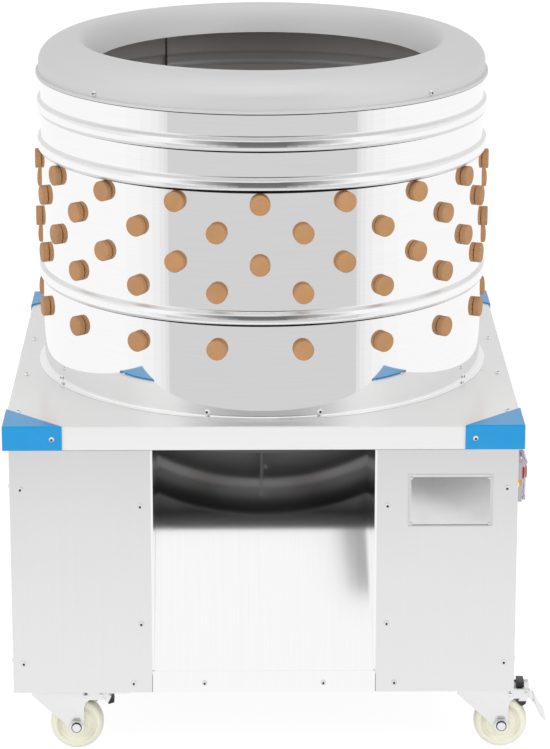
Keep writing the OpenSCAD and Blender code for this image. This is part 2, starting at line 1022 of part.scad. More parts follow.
module chute_left_wall() {
    color(steel)
        mirror([1, 0, 0])
            chute_wall();
}

module chute_right_wall() {
    color(steel)
        chute_wall();
}

// Frame under the pan

// Two square tubes across the cabinet, with a foot at each end against the side panel
module cross_rails() {
    foot_t = 4;
    foot_h = rail_side + 20;
    color("dimgray")
        difference() {
            for (y = [-rail_y, rail_y]) {
                difference() {
                    slab([-in_w, in_w], [y - rail_side / 2, y + rail_side / 2],
                        [rail_top - rail_side, rail_top]);
                    slab([-in_w - 1, in_w + 1],
                        [y - rail_side / 2 + rail_wall, y + rail_side / 2 - rail_wall],
                        [rail_top - rail_side + rail_wall, rail_top - rail_wall]);
                }
                both_sides()
                    slab([in_w - foot_t, in_w], [y - rail_side / 2, y + rail_side / 2],
                        [rail_top - foot_h, rail_top - rail_side + rail_wall]);
            }
            rail_bolt_places()
                bolt_hole();
        }
}

module bearing_plate() {
    color("dimgray")
        difference() {
            slab([-bearing_plate_half, bearing_plate_half], [-bearing_plate_half, bearing_plate_half],
                [rail_top, bearing_plate_top]);
            cylinder(r = housing_r + hole_fit, h = 3 * cab_h, center = true);
            housing_bolt_places()
                bolt_hole();
            rail_bolt_places()
                bolt_hole(30);
        }
}

// Long housing for both main bearings, hung through the bearing plate by its flange
module bearing_housing() {
    color("slategray")
        difference() {
            rotate_extrude()
                polygon([[shaft_r + 6, housing_low], [housing_r, housing_low],
                    [housing_r, bearing_plate_top], [housing_flange_r, bearing_plate_top],
                    [housing_flange_r, flange_top], [housing_r, flange_top],
                    [housing_r, housing_top], [shaft_r + 6, housing_top]]);
            translate([0, 0, upper_bearing_z])
                cylinder(r = bearing_r + run_fit, h = through);
            translate([0, 0, housing_low + bearing_w - through])
                cylinder(r = bearing_r + run_fit, h = through);
            housing_bolt_places()
                bolt_hole();
        }
}

// Sealed ball bearing with its shields set back from both faces
module ball_bearing() {
    in_r = shaft_r + run_fit;
    ring_t = (bearing_r - in_r) / 4;
    shield = 1;
    rotate_extrude()
        polygon([[in_r, 0], [in_r + ring_t, 0], [in_r + ring_t, shield], [bearing_r - ring_t, shield],
            [bearing_r - ring_t, 0], [bearing_r, 0], [bearing_r, bearing_w],
            [bearing_r - ring_t, bearing_w],
            [bearing_r - ring_t, bearing_w - shield], [in_r + ring_t, bearing_w - shield],
            [in_r + ring_t, bearing_w], [in_r, bearing_w]]);
}

module shaft_bearings() {
    color("gainsboro")
        for (z = [housing_low, upper_bearing_z])
            translate([0, 0, z])
                ball_bearing();
}

// Lip seal over the upper bearing
module shaft_seal() {
    low = housing_top - seal_t;
    color("black")
        rotate_extrude()
            polygon([[shaft_r + run_fit, low + 3], [shaft_r + 3, low], [bearing_r, low],
                [bearing_r, housing_top], [shaft_r + 4, housing_top], [shaft_r + run_fit, low + 5]]);
}

// Bolts of the housing, the bearing plate, the motor and its stand
module frame_bolts() {
    color(zinc) {
        housing_bolt_places()
            hex_bolt(housing_flange_t + bearing_plate_t);
        rail_bolt_places()
            hex_bolt(bearing_plate_t + rail_wall);
        motor_bolt_places()
            hex_bolt(motor_flange_t + stand_t);
        stand_bolt_places()
            hex_bolt(stand_t + sheet);
    }
}

// Bent plate that carries the motor over the belt
module motor_stand() {
    y = [shaft_distance - stand_depth_half, shaft_distance + stand_depth_half];
    color("dimgray")
        difference() {
            union() {
                slab([-stand_half_w, stand_half_w], y, [stand_h - stand_t, stand_h]);
                both_sides() {
                    slab([stand_half_w - stand_t, stand_half_w], y, [sheet, stand_h]);
                    slab([stand_half_w - stand_t, stand_half_w + 28], y, [sheet, sheet + stand_t]);
                }
            }
            translate([0, shaft_distance, 0])
                cylinder(r = motor_pitch_r + belt_depth + 4, h = through);
            motor_bolt_places()
                bolt_hole();
            stand_bolt_places()
                bolt_hole(30);
        }
}

// Finned frame with its flange below, hollow for the rotor
module motor_body() {
    fin_count = 28;
    fin_t = 2.5;
    color("slategray")
        translate([0, shaft_distance, 0])
            difference() {
                union() {
                    translate([0, 0, stand_h])
                        cylinder(r = motor_r + fin_out, h = motor_flange_t);
                    translate([0, 0, frame_low])
                        cylinder(r = motor_r, h = motor_l + motor_cap_t);
                    for (i = [0 : fin_count - 1])
                        rotate([0, 0, (i + 0.5) * 360 / fin_count])
                            translate([motor_r - 2, -fin_t / 2, frame_low + 12])
                                cube([fin_out + 2, fin_t, motor_l - 20]);
                }
                translate([0, 0, -1])
                    cylinder(r = motor_shaft_r + run_fit, h = through + cab_h);
                translate([0, 0, frame_low + rotor_end - 2])
                    cylinder(r = rotor_r + 1, h = motor_l - 2 * rotor_end + 4);
                for (i = [0 : 3])
                    rotate([0, 0, 45 + 90 * i])
                        translate([motor_bolt_circle_r, 0, stand_h - 1])
                            cylinder(r = bolt_r + hole_fit, h = motor_flange_t + 1.1);
                for (i = [0 : 3])
                    rotate([0, 0, 45 + 90 * i])
                        translate([motor_bolt_circle_r, 0, frame_low])
                            cylinder(r = hex_r + 1, h = hex_head_h + 1);
            }
}

// Cover over the motor's fan, with a ring of air slots in its end
module motor_fan_cowl() {
    in_r = motor_r + 0.3;
    low = frame_top + 2;
    color("slategray")
        translate([0, shaft_distance, 0])
            difference() {
                rotate_extrude()
                    polygon([[in_r, low], [in_r + sheet, low], [in_r + sheet, cowl_top - 4],
                        [in_r - 4, cowl_top], [0, cowl_top], [0, cowl_top - sheet],
                        [in_r - 4, cowl_top - sheet], [in_r, cowl_top - 5]]);
                for (i = [0 : 11])
                    rotate([0, 0, 30 * i])
                        translate([18, -2, cowl_top - 5])
                            cube([28, 4, 10]);
            }
}

// Box for the motor's wires and capacitor, on a pad against the finned frame
module capacitor_box() {
    box_w = 70;
    box_h = 92;
    near = shaft_distance + motor_r + fin_out + seat_gap;
    low = frame_low + 25;
    color("dimgray") {
        slab([-box_w / 2, box_w / 2], [near, near + box_t], [low, low + box_h]);
        slab([-box_w / 2 - 2, box_w / 2 + 2], [near + box_t - 4, near + box_t], [low - 2, low + box_h + 2]);
    }
}

// Belt and pulleys

// Half the belt's width at a radius, for a pulley of the given pitch radius
function belt_half(pitch_r, r) = belt_w / 2 - (pitch_r + belt_depth / 2 - r) * tan(groove_slope);

function belt_section(pitch_r, slim) = let (low = pitch_r - belt_depth / 2, high = pitch_r + belt_depth / 2,
    low_half = belt_half(pitch_r, low) - slim, high_half = belt_half(pitch_r, high) - slim)
    [[low + slim, -low_half], [high - slim, -high_half], [high - slim, high_half], [low + slim, low_half]];

module belt_arc(pitch_r, start, sweep) {
    rotate([0, 0, start])
        rotate_extrude(angle = sweep, $fn = 96)
            polygon(belt_section(pitch_r, 0));
}

// Straight run, a hair slimmer than the arcs and let into both of them
module belt_run() {
    run = shaft_distance * cos(belt_lean);
    let_in = 0.5;
    rotate([0, 0, belt_lean])
        translate([0, run + let_in, 0])
            rotate([90, 0, 0])
                linear_extrude(run + 2 * let_in)
                    polygon(belt_section(driven_pitch_r, 0.02));
}

module drive_belt() {
    color("black")
        translate([0, 0, belt_z]) {
            belt_arc(driven_pitch_r, 180 - belt_lean, 180 + 2 * belt_lean);
            translate([0, shaft_distance, 0])
                belt_arc(motor_pitch_r, belt_lean, 180 - 2 * belt_lean);
            both_sides()
                belt_run();
        }
}

// Grooved rim from its lower to its upper edge
function grooved_rim(pitch_r) = let (gap = belt_gap / cos(groove_slope),
    high = pitch_r + belt_depth / 2 + 1, low = pitch_r - belt_depth / 2 - 1)
    [[high, -rim_half], [high, -belt_half(pitch_r, high) - gap], [low, -belt_half(pitch_r, low) - gap],
        [low, belt_half(pitch_r, low) + gap], [high, belt_half(pitch_r, high) + gap], [high, rim_half]];

module driven_pulley() {
    hub_r = 1.8 * shaft_r;
    hub_half = 1.28 * rim_half;
    rim_in = driven_pitch_r - 1.32 * belt_depth;
    web = shaft_r / 4;
    hole_r = 0.9 * shaft_r;
    hole_circle_r = (hub_r + rim_in) / 2;
    color("darkslategray")
        difference() {
            translate([0, 0, belt_z])
                rotate_extrude($fn = 96)
                    polygon(concat([[shaft_r + run_fit, -hub_half], [hub_r, -hub_half],
                        [hub_r, -web], [rim_in, -web], [rim_in, -rim_half]], grooved_rim(driven_pitch_r),
                        [[rim_in, rim_half], [rim_in, web], [hub_r, web], [hub_r, hub_half],
                        [shaft_r + run_fit, hub_half]]));
            for (i = [0 : 4])
                rotate([0, 0, 72 * i])
                    translate([hole_circle_r, 0, belt_z])
                        cylinder(r = hole_r, h = 4 * web, center = true);
        }
}

module motor_pulley() {
    color("darkslategray")
        translate([0, shaft_distance, belt_z])
            rotate_extrude()
                polygon(concat([[motor_shaft_r + run_fit, -rim_half]], grooved_rim(motor_pitch_r),
                    [[motor_shaft_r + run_fit, rim_half]]));
}

// Turning parts

// Main shaft with the domed nut that holds the turning plate down
module main_shaft() {
    nut_r = shaft_r + 10;
    color("silver")
        rotate_extrude()
            polygon([[0, shaft_low], [shaft_r - 1, shaft_low], [shaft_r, shaft_low + 1],
                [shaft_r, plate_top], [nut_r, plate_top], [nut_r, plate_top + 12],
                [nut_r - 3, plate_top + 20], [nut_r - 14, plate_top + 26], [0, plate_top + 27]]);
}

module plate_hub() {
    color("slategray")
        difference() {
            rotate_extrude()
                polygon([[shaft_r + run_fit, hub_low], [hub_boss_r, hub_low],
                    [hub_boss_r, plate_z - hub_flange_t], [hub_flange_r, plate_z - hub_flange_t],
                    [hub_flange_r, plate_z], [shaft_r + run_fit, plate_z]]);
            hub_bolt_places()
                bolt_hole();
        }
}

module turning_plate() {
    color(steel)
        difference() {
            translate([0, 0, plate_z])
                cylinder(r = plate_r, h = plate_t, $fn = 180);
            cylinder(r = shaft_r + run_fit, h = 3 * cab_h, center = true);
            plate_finger_places()
                cylinder(r = finger_hole_r, h = 30, center = true);
            hub_bolt_places()
                bolt_hole(30);
            sweeper_screw_places()
                screw_hole();
        }
}

// Bolts of the hub and screws of the sweepers
module hub_bolts() {
    color(zinc) {
        hub_bolt_places()
            hex_bolt(plate_t + hub_flange_t);
        sweeper_screw_places()
            button_screw();
    }
}

module plate_fingers() {
    color(rubber)
        plate_finger_places()
            rubber_finger(plate_t);
}

module sweeper_screw_places() {
    for (i = [0 : sweeper_count - 1], r = [sweeper_in_r + 18, sweeper_out_r - 18])
        rotate([0, 0, i * 360 / sweeper_count])
            translate([r, sweeper_flange_w / 4, plate_top])
                children();
}

// Angle strips under the plate that push fallen feathers round to the chute
module feather_sweepers() {
    low = pan_z + sheet + sweeper_gap;
    reach = [sweeper_in_r, sweeper_out_r];
    color(steel)
        difference() {
            for (i = [0 : sweeper_count - 1])
                rotate([0, 0, i * 360 / sweeper_count]) {
                    slab(reach, [-sweeper_t, 0], [low, plate_z]);
                    slab(reach, [-sweeper_t, sweeper_flange_w / 2], [plate_z - sweeper_t, plate_z]);
                }
            sweeper_screw_places()
                screw_hole();
        }
}

module motor_shaft() {
    shaft_end = cowl_top - 6;
    color("silver")
        translate([0, shaft_distance, 0]) {
            translate([0, 0, belt_z - rim_half - 3])
                cylinder(r = motor_shaft_r, h = shaft_end - belt_z + rim_half + 3);
            translate([0, 0, frame_low + rotor_end])
                cylinder(r = rotor_r, h = motor_l - 2 * rotor_end);
        }
}

// Radial fan on the motor shaft's upper end
module motor_fan() {
    fan_z = frame_top + motor_cap_t + fan_gap;
    fan_r = motor_r - 10;
    color("dimgray")
        translate([0, shaft_distance, fan_z])
            difference() {
                union() {
                    cylinder(r = motor_shaft_r + 6, h = fan_t);
                    cylinder(r = fan_r, h = 3);
                    for (i = [0 : 7])
                        rotate([0, 0, 45 * i])
                            translate([motor_shaft_r + 3, -1.2, 0])
                                cube([fan_r - motor_shaft_r - 5, 2.4, fan_t]);
                }
                cylinder(r = motor_shaft_r + run_fit, h = through, center = true);
            }
}

// Switch

// Box with wells for both buttons and ears for the flap's pin
module switch_housing() {
    back = 26;
    y = [-switch_y - switch_w / 2, -switch_y + switch_w / 2];
    z = [switch_z - switch_h / 2, switch_z + switch_h / 2];
    ear_t = 4;
    color("gold") {
        difference() {
            union() {
                slab([half_w, half_w + switch_t], y, z);
                slab([half_w - back, half_w], [y[0] + back_side, y[1] - back_side],
                    [z[0] + back_end, z[1] - back_end]);
                for (s = [-1, 1])
                    translate([flap_pin_x, -switch_y + s * (switch_w / 2 - ear_t / 2), flap_pin_z])
                        rotate([90, 0, 0])
                            cylinder(r = flap_barrel_r, h = ear_t, center = true);
                for (s = [-1, 1])
                    slab([half_w + switch_t - 1, flap_pin_x],
                        [-switch_y + s * (switch_w / 2 - ear_t / 2) - ear_t / 2,
                        -switch_y + s * (switch_w / 2 - ear_t / 2) + ear_t / 2],
                        [z[1] - 6, flap_pin_z + flap_barrel_r]);
                translate([flap_pin_x, -switch_y, flap_pin_z])
                    rotate([90, 0, 0])
                        cylinder(r = flap_pin_r, h = switch_w - ear_t, center = true);
            }
            button_well(stop_r, stop_dz);
            button_well(start_r, start_dz);
        }
    }
}

// Stepped well that guides a button and keeps its collar in
module button_well(r, dz) {
    depth = button_l + button_travel + 2;
    translate([half_w + switch_t - 3 - depth, -switch_y, switch_z + dz])
        out_right() {
            cylinder(r = r + hole_fit, h = 2 * depth);
            cylinder(r = r + button_collar + hole_fit, h = depth);
        }
}

// Button that stands out of its well, with a collar under the housing's face
module button(r, dz, out) {
    face = half_w + switch_t;
    low = face - 3 - turn_gap;
    translate([0, -switch_y, switch_z + dz])
        out_right()
            rotate_extrude()
                polygon([[0, low - button_l], [r + button_collar, low - button_l],
                    [r + button_collar, low], [r, low], [r, face + out - 1.5], [r - 1.5, face + out],
                    [0, face + out + 0.6]]);
}

module stop_button() {
    color("red")
        button(stop_r, stop_dz, stop_out);
}

module start_button() {
    color("green")
        button(start_r, start_dz, 1);
}

// Clear cover on a pin, with a round window for the stop button
module switch_flap() {
    low = switch_z - switch_h / 2 + 1;
    window_r = stop_r + 1.8;
    y = [-switch_y - flap_half_w, -switch_y + flap_half_w];
    color("lavender", 0.5)
        difference() {
            union() {
                slab([flap_x, flap_x + flap_t], y, [low, flap_pin_z]);
                slab([flap_x - 2, flap_x + flap_t], y, [low, low + 2]);
                translate([flap_pin_x, -switch_y, flap_pin_z])
                    rotate([90, 0, 0])
                        cylinder(r = flap_barrel_r, h = 2 * flap_half_w, center = true);
            }
            translate([flap_pin_x, -switch_y, flap_pin_z])
                rotate([90, 0, 0])
                    cylinder(r = flap_pin_r + run_fit, h = switch_w, center = true);
            translate([flap_x, -switch_y, switch_z + stop_dz])
                out_right()
                    cylinder(r = window_r, h = 20, center = true);
        }
}

// Screwed cable gland: hexagon and dome outside, thread and locknut inside
module cable_gland() {
    thread_r = gland_bore_r + 5;
    hex = gland_bore_r + 9;
    color("dimgray")
        translate([gland_x, half_d, gland_z])
            out_rear()
                difference() {
                    union() {
                        translate([0, 0, -14])
                            cylinder(r = thread_r, h = 16);
                        translate([0, 0, -sheet - 5])
                            cylinder(r = hex, h = 5, $fn = 6);
                        cylinder(r = hex, h = 7, $fn = 6);
                        rotate_extrude()
                            polygon([[0, 7], [thread_r + 1, 7], [thread_r + 1, 17],
                                [thread_r - 2, 22], [0, 22]]);
                    }
                    cylinder(r = gland_bore_r, h = through, center = true);
                }
}

// Casters

module swivel_places() {
    for (x = [-1, 1], y = [-1, 1])
        translate([x * swivel_x, y * swivel_y, 0])
            children();
}

// Fixed plate with the swivel's race and its headed kingpin
module caster_plates() {
    race_low = -caster_plate_t - race_h;
    pin_low = yoke_top - yoke_t - turn_gap;
    color(zinc)
        difference() {
            swivel_places() {
                slab([-caster_plate_l / 2, caster_plate_l / 2], [-caster_plate_w / 2, caster_plate_w / 2],
                    [-caster_plate_t, 0]);
                rotate_extrude()
                    polygon([[0, -caster_plate_t / 2], [race_r, -caster_plate_t / 2], [race_r, race_low],
                        [kingpin_r, race_low], [kingpin_r, pin_low], [kingpin_head_r, pin_low],
                        [kingpin_head_r, pin_low - 3], [0, pin_low - 3]]);
            }
            caster_bolt_places()
                bolt_hole(30);
        }
}

module caster_bolts() {
    color(zinc)
        caster_bolt_places()
            hex_bolt(caster_plate_t + sheet);
}

// One cheek of the fork, from the yoke down to the axle and out to the brake's ear
module fork_cheek() {
    boss_r = 1.85 * axle_r;
    neck_x = caster_trail + 0.95 * boss_r;
    difference() {
        union() {
            polygon([[-fork_back, yoke_top], [pedal_x + 0.7 * fork_ear, yoke_top],
                [pedal_x + fork_ear, pedal_z], [pedal_x + 0.4 * fork_ear, pedal_z - fork_ear],
                [neck_x + 1.1 * fork_ear, pedal_z - fork_ear],
                [neck_x + 0.3 * fork_ear, pedal_z - 1.7 * fork_ear], [neck_x, pedal_z - 2.9 * fork_ear],
                [neck_x, axle_z], [caster_trail - 0.9 * boss_r, axle_z - 0.27 * boss_r],
                [-fork_back, yoke_top - fork_ear]]);
            translate([caster_trail, axle_z])
                circle(r = boss_r);
        }
        translate([caster_trail, axle_z])
            circle(r = axle_r + run_fit);
    }
}

// Fork with its axle bolt and brake pin, at a swivel on the origin, trailing towards +X
module fork_at_origin(braked) {
    cheek_out = fork_gap / 2 + fork_t;
    bolt_end = cheek_out + 1.5 * axle_r;
    difference() {
        union() {
            for (y = [-cheek_out, fork_gap / 2])
                translate([0, y + fork_t, 0])
                    rotate([90, 0, 0])
                        linear_extrude(fork_t)
                            fork_cheek();
            slab([-fork_back, caster_trail + yoke_t], [-cheek_out, cheek_out], [yoke_top - yoke_t, yoke_top]);
            if (braked)
                translate([pedal_x, 0, pedal_z])
                    rotate([90, 0, 0])
                        cylinder(r = pedal_pin_r, h = 2 * cheek_out + pedal_pin_r, center = true);
        }
        cylinder(r = kingpin_r + run_fit, h = through, center = true);
    }
    translate([caster_trail, 0, axle_z])
        rotate([90, 0, 0]) {
            cylinder(r = axle_r, h = 2 * bolt_end, center = true);
            translate([0, 0, cheek_out + run_fit])
                cylinder(r = 1.75 * axle_r, h = axle_r, $fn = 6);
            translate([0, 0, -cheek_out - run_fit - axle_r])
                cylinder(r = 1.75 * axle_r, h = axle_r, $fn = 6);
        }
}

module front_left_fork() {
    color(zinc)
        translate([-swivel_x, -swivel_y, 0])
            fork_at_origin(true);
}

module front_right_fork() {
    color(zinc)
        translate([swivel_x, -swivel_y, 0])
            fork_at_origin(true);
}

module rear_left_fork() {
    color(zinc)
        translate([-swivel_x, swivel_y, 0])
            fork_at_origin(false);
}

module rear_right_fork() {
    color(zinc)
        translate([swivel_x, swivel_y, 0])
            fork_at_origin(false);
}

// Moulded wheel on its axle: rounded tread, dished sides and a long hub
module caster_wheel(x, y) {
    half = wheel_w / 2;
    round_r = 6;
    hub_r = axle_r + 9;
    hub_half = fork_gap / 2 - 1;
    rim_in = wheel_r - 10;
    dish = 3;
    edge_r = wheel_r - round_r;
    edge_y = half - round_r;
    side = [for (i = [0 : 4]) [edge_r + round_r * sin(22.5 * i), edge_y + round_r * cos(22.5 * i)]];
    upper = concat([[axle_r + run_fit, hub_half], [hub_r, hub_half], [hub_r + 1, half - dish],
        [rim_in - 1, half - dish], [rim_in, half]], side);
    color("beige")
        translate([x + caster_trail, y, axle_z])
            rotate([90, 0, 0])
                rotate_extrude($fn = 96)
                    polygon(concat(upper, [for (p = reversed(upper)) [p[0], -p[1]]]));
}

module front_left_wheel() {
    caster_wheel(-swivel_x, -swivel_y);
}

module front_right_wheel() {
    caster_wheel(swivel_x, -swivel_y);
}

module rear_left_wheel() {
    caster_wheel(-swivel_x, swivel_y);
}

module rear_right_wheel() {
    caster_wheel(swivel_x, swivel_y);
}

// Pressed lever with its cam block and brake shoe, pressed down on its pin at the origin
module pedal_at_pin() {
    eye_r = pedal_pin_r + 3;
    narrow = fork_gap / 2 - 1.5;
    wide = 22;
    tread_x = 10;
    difference() {
        union() {
            rotate([90, 0, 0])
                cylinder(r = eye_r, h = 2 * narrow, center = true);
            pedal_strip(narrow, [[-6, 8], [-3, 9], [tread_x + 3, -13], [tread_x, -15], [-2, 2]]);
            pedal_strip(wide, [[tread_x, -11], [tread_x + 3, -11.5], [22, -29], [28, -37],
                [26, -39.5], [19, -31]]);
            pedal_strip(12, [[-13, 1], [-3, 1], [-3, 15], [-13, 15]]);
            pedal_strip(10, [[-4, -1], [4, -2], [0, -19], [-5.2, -22], [-10.7, -16.2], [-8, -8]]);
        }
        rotate([90, 0, 0])
            cylinder(r = pedal_pin_r + run_fit, h = through, center = true);
    }
}

// Side view drawn in X and Z, as wide as given on both sides of the middle
module pedal_strip(half, outline) {
    rotate([90, 0, 0])
        linear_extrude(2 * half, center = true)
            polygon(outline);
}

// The left pedal is shown let up, the right one pressed down
module left_brake_pedal() {
    color(zinc)
        translate([-swivel_x + pedal_x, -swivel_y, pedal_z])
            rotate([0, -pedal_swing, 0])
                pedal_at_pin();
}

module right_brake_pedal() {
    color(zinc)
        translate([swivel_x + pedal_x, -swivel_y, pedal_z])
            pedal_at_pin();
}

base_pan();
corner_posts();
left_side_panel();
right_side_panel();
rear_panel();
front_left_panel();
front_right_panel();
panel_screws();
top_tray();
tray_screws();
corner_protectors();
rating_plate();
rating_plate_rivets();
drum_shell();
top_ring();
ring_screws();
wall_fingers();
feather_pan();
chute_floor();
chute_left_wall();
chute_right_wall();
cross_rails();
bearing_plate();
bearing_housing();
shaft_bearings();
shaft_seal();
frame_bolts();
motor_stand();
motor_body();
motor_fan_cowl();
capacitor_box();
drive_belt();
switch_housing();
cable_gland();
caster_plates();
caster_bolts();
main_shaft();
plate_hub();
turning_plate();
hub_bolts();
plate_fingers();
feather_sweepers();
driven_pulley();
motor_shaft();
motor_pulley();
motor_fan();
front_left_fork();
front_right_fork();
rear_left_fork();
rear_right_fork();
front_left_wheel();
front_right_wheel();
rear_left_wheel();
rear_right_wheel();
left_brake_pedal();
right_brake_pedal();
switch_flap();
stop_button();
start_button();
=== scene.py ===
import json
from math import atan2, copysign, cos, pi, radians, sin, tan

import bmesh
import bpy
from bpy.props import FloatProperty, FloatVectorProperty, IntProperty, PointerProperty
from mathutils import Matrix, Vector


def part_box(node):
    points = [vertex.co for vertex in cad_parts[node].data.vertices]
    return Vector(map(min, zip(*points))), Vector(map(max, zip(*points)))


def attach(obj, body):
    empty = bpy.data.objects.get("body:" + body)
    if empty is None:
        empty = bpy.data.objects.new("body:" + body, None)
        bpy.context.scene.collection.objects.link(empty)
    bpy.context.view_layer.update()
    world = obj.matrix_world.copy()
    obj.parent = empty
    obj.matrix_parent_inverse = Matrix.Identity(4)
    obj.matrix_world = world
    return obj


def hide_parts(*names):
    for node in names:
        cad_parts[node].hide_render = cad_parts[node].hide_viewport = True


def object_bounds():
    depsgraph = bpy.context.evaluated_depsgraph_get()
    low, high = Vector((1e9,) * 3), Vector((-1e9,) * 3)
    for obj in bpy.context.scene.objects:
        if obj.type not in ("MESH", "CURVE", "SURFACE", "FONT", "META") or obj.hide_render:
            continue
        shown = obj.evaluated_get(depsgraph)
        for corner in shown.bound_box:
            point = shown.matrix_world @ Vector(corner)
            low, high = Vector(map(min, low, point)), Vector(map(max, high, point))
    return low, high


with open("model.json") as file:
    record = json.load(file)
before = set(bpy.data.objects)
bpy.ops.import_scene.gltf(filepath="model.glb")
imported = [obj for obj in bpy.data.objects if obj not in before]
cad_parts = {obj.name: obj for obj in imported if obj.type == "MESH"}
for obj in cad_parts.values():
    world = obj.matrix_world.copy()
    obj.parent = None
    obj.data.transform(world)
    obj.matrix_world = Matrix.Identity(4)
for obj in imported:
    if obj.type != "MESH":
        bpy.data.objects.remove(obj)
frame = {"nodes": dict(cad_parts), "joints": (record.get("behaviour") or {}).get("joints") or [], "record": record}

bl_info = {
    "name": "Poultry plucker",
    "version": (1, 0, 0),
    "blender": (4, 5, 0),
    "location": "3D View > Sidebar > Plucker",
    "description": "Dresses the packed poultry plucker and sets it on a plain pale stage",
    "category": "Object",
}

# The CAD model's box, before anything is dressed
CAD_BOX = [list(corner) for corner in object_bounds()]
BODY_OF = {node: body for body, nodes in frame["record"]["behaviour"]["bodies"].items()
           for node in nodes}
SLOT_OF = {part["node"]: part["material_slot"] for part in frame["record"]["subparts"]}

# Levels read off the CAD nodes, in metres
FLOOR_Z = CAD_BOX[0][2]
TRAY_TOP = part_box("top_tray")[1].z
HEM_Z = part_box("top_ring")[0].z
RING_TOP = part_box("top_ring")[1].z
PLATE_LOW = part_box("turning_plate")[0].z
PLATE_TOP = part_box("turning_plate")[1].z
# Height of the middle of each bead of the drum above the tray
BEADS = (0.142, 0.329, 0.385)


def joint_named(name):
    """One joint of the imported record."""
    return next(joint for joint in frame["joints"] if joint["name"] == name)


# Properties


def length(name, description, default, low, high):
    """A length in metres, as a property."""
    return FloatProperty(
        name=name, description=description, default=default, min=low, max=high, unit="LENGTH")


def tint(name, description, default):
    """A colour, as a property."""
    return FloatVectorProperty(
        name=name, description=description, subtype="COLOR", min=0, max=1, default=default)


def watts(name, description, default):
    """The power of a lamp, as a property."""
    return FloatProperty(
        name=name, description=description, default=default, min=0, max=500, unit="POWER")


class PluckerSizes(bpy.types.PropertyGroup):
    """Sizes of the dressed pieces."""

    drum_radius: length("Drum radius", "Outer radius of the drum wall", 0.319, 0.3, 0.34)
    sheet: length("Sheet", "Thickness of the stainless sheet", 0.0015, 0.001, 0.002)
    foot_flange: length(
        "Foot flange", "Width of the drum's out-turned foot", 0.008, 0.005, 0.012)
    bead_height: length(
        "Bead height", "Height of each swaged bead of the drum", 0.022, 0.016, 0.030)
    bead_out: length(
        "Bead depth", "How far a bead stands out of the drum wall", 0.006, 0.003, 0.008)
    crest_radius: length("Crest radius", "Radius of the top ring's crest", 0.268, 0.26, 0.28)
    mouth_radius: length("Mouth radius", "Radius of the drum's mouth", 0.240, 0.225, 0.25)
    fingers_per_row: IntProperty(
        name="Fingers per row", description="Rubber fingers in each row of the drum wall",
        default=17, min=12, max=18)
    finger_head: length(
        "Finger head", "Radius of a rubber finger's head", 0.0142, 0.013, 0.015)
    edge_ease: length("Edge easing", "Rounding of cut sheet edges", 0.0004, 0.0001, 0.0006)


class PluckerColours(bpy.types.PropertyGroup):
    """Colours of the finishes."""

    steel: tint("Steel", "Stainless sheet", (0.84, 0.84, 0.84))
    polish: tint("Polished steel", "Mirror polished stainless sheet", (0.94, 0.94, 0.94))
    zinc: tint("Zinc", "Bright zinc plating of the casters and fasteners", (0.86, 0.86, 0.865))
    blue_paint: tint("Blue paint", "Paint of the corner protectors", (0.0, 0.31, 0.69))
    finger_tan: tint("Finger rubber", "Tan rubber of the fingers", (0.52, 0.27, 0.118))
    nylon: tint("Nylon", "Cream nylon of the caster wheels", (0.95, 0.93, 0.77))


class PluckerStage(bpy.types.PropertyGroup):
    """Light of the stage."""

    side_light: watts("Side light", "Power of each softbox", 26.0)
    top_light: watts("Top light", "Power of the overhead softbox", 18.0)
    low_light: watts("Low light", "Power of the low softbox in front", 9.0)
    room: FloatProperty(
        name="Room", description="Strength of the room's even light", default=0.50, min=0, max=2)


# Node helpers


def add_node(tree, kind, sockets=None, **settings):
    """A new node with its settings, and its sockets set to values or linked to other sockets."""
    node = tree.nodes.new(kind)
    for label, value in settings.items():
        setattr(node, label, value)
    for label, value in (sockets or {}).items():
        if isinstance(value, bpy.types.NodeSocket):
            tree.links.new(value, node.inputs[label])
        else:
            node.inputs[label].default_value = value
    return node


def maths(tree, operation, *values):
    """A maths node's result on sockets or numbers."""
    sockets = dict(enumerate(values))
    return add_node(tree, "ShaderNodeMath", sockets, operation=operation).outputs[0]


def ranged(tree, value, low, high, to_low=0.0, to_high=1.0):
    """A value's range turned into another range."""
    return add_node(tree, "ShaderNodeMapRange", {
        "Value": value, "From Min": low, "From Max": high, "To Min": to_low, "To Max": to_high,
    }).outputs["Result"]


def object_axes(tree):
    """Object coordinates, as one socket for each axis."""
    place = add_node(tree, "ShaderNodeTexCoord").outputs["Object"]
    return add_node(tree, "ShaderNodeSeparateXYZ", {0: place}).outputs


# Finishes

# The range that most values of a noise texture fall in
NOISE_RANGE = (0.3, 0.7)
# Depth of the fine relief of sheet and of other finishes, in metres
SHEET_RELIEF, PLAIN_RELIEF = 0.0002, 0.0003
# Black of the painted shade lines, and the roughness of those lines and of the dull creases
PAINTED_SHADE_BLACK, LINE_ROUGH = (0.012, 0.012, 0.012), 0.5
# Dull creases below and above each bead: rise from the bead's lower edge, height and grey
CREASES = ((0.0, 0.0060, 0.78), (0.0170, 0.0045, 0.86))
# Height of the painted shade under each bead, a black line for the shadow below it, at the rear and in front
SHADE_LINE_REAR, SHADE_LINE_FRONT = 0.0008, (0.0046, 0.0056, 0.0036)
# Painted shade at the ring's hem, a black line for the shadow between hem and drum: lower edge, and height at the
# rear and in front
HEM_PAINTED_SHADE = (HEM_Z - 0.0005, 0.0014, 0.0022)
# The stripe across the switch: lower edge from the switch's middle, height, colour, roughness
STRIPE_LOW, STRIPE_HEIGHT = -0.007, 0.009
STRIPE_ORANGE, STRIPE_ROUGH = (0.80, 0.42, 0.04), 0.38
FINISHES = {}


def principled(tree):
    """The Principled shader of a material's tree."""
    return next(node for node in tree.nodes if node.type == "BSDF_PRINCIPLED")


def new_material(name):
    """A material with its node tree and its Principled shader."""
    material = bpy.data.materials.new(name)
    material.use_nodes = True
    return material, material.node_tree, principled(material.node_tree)


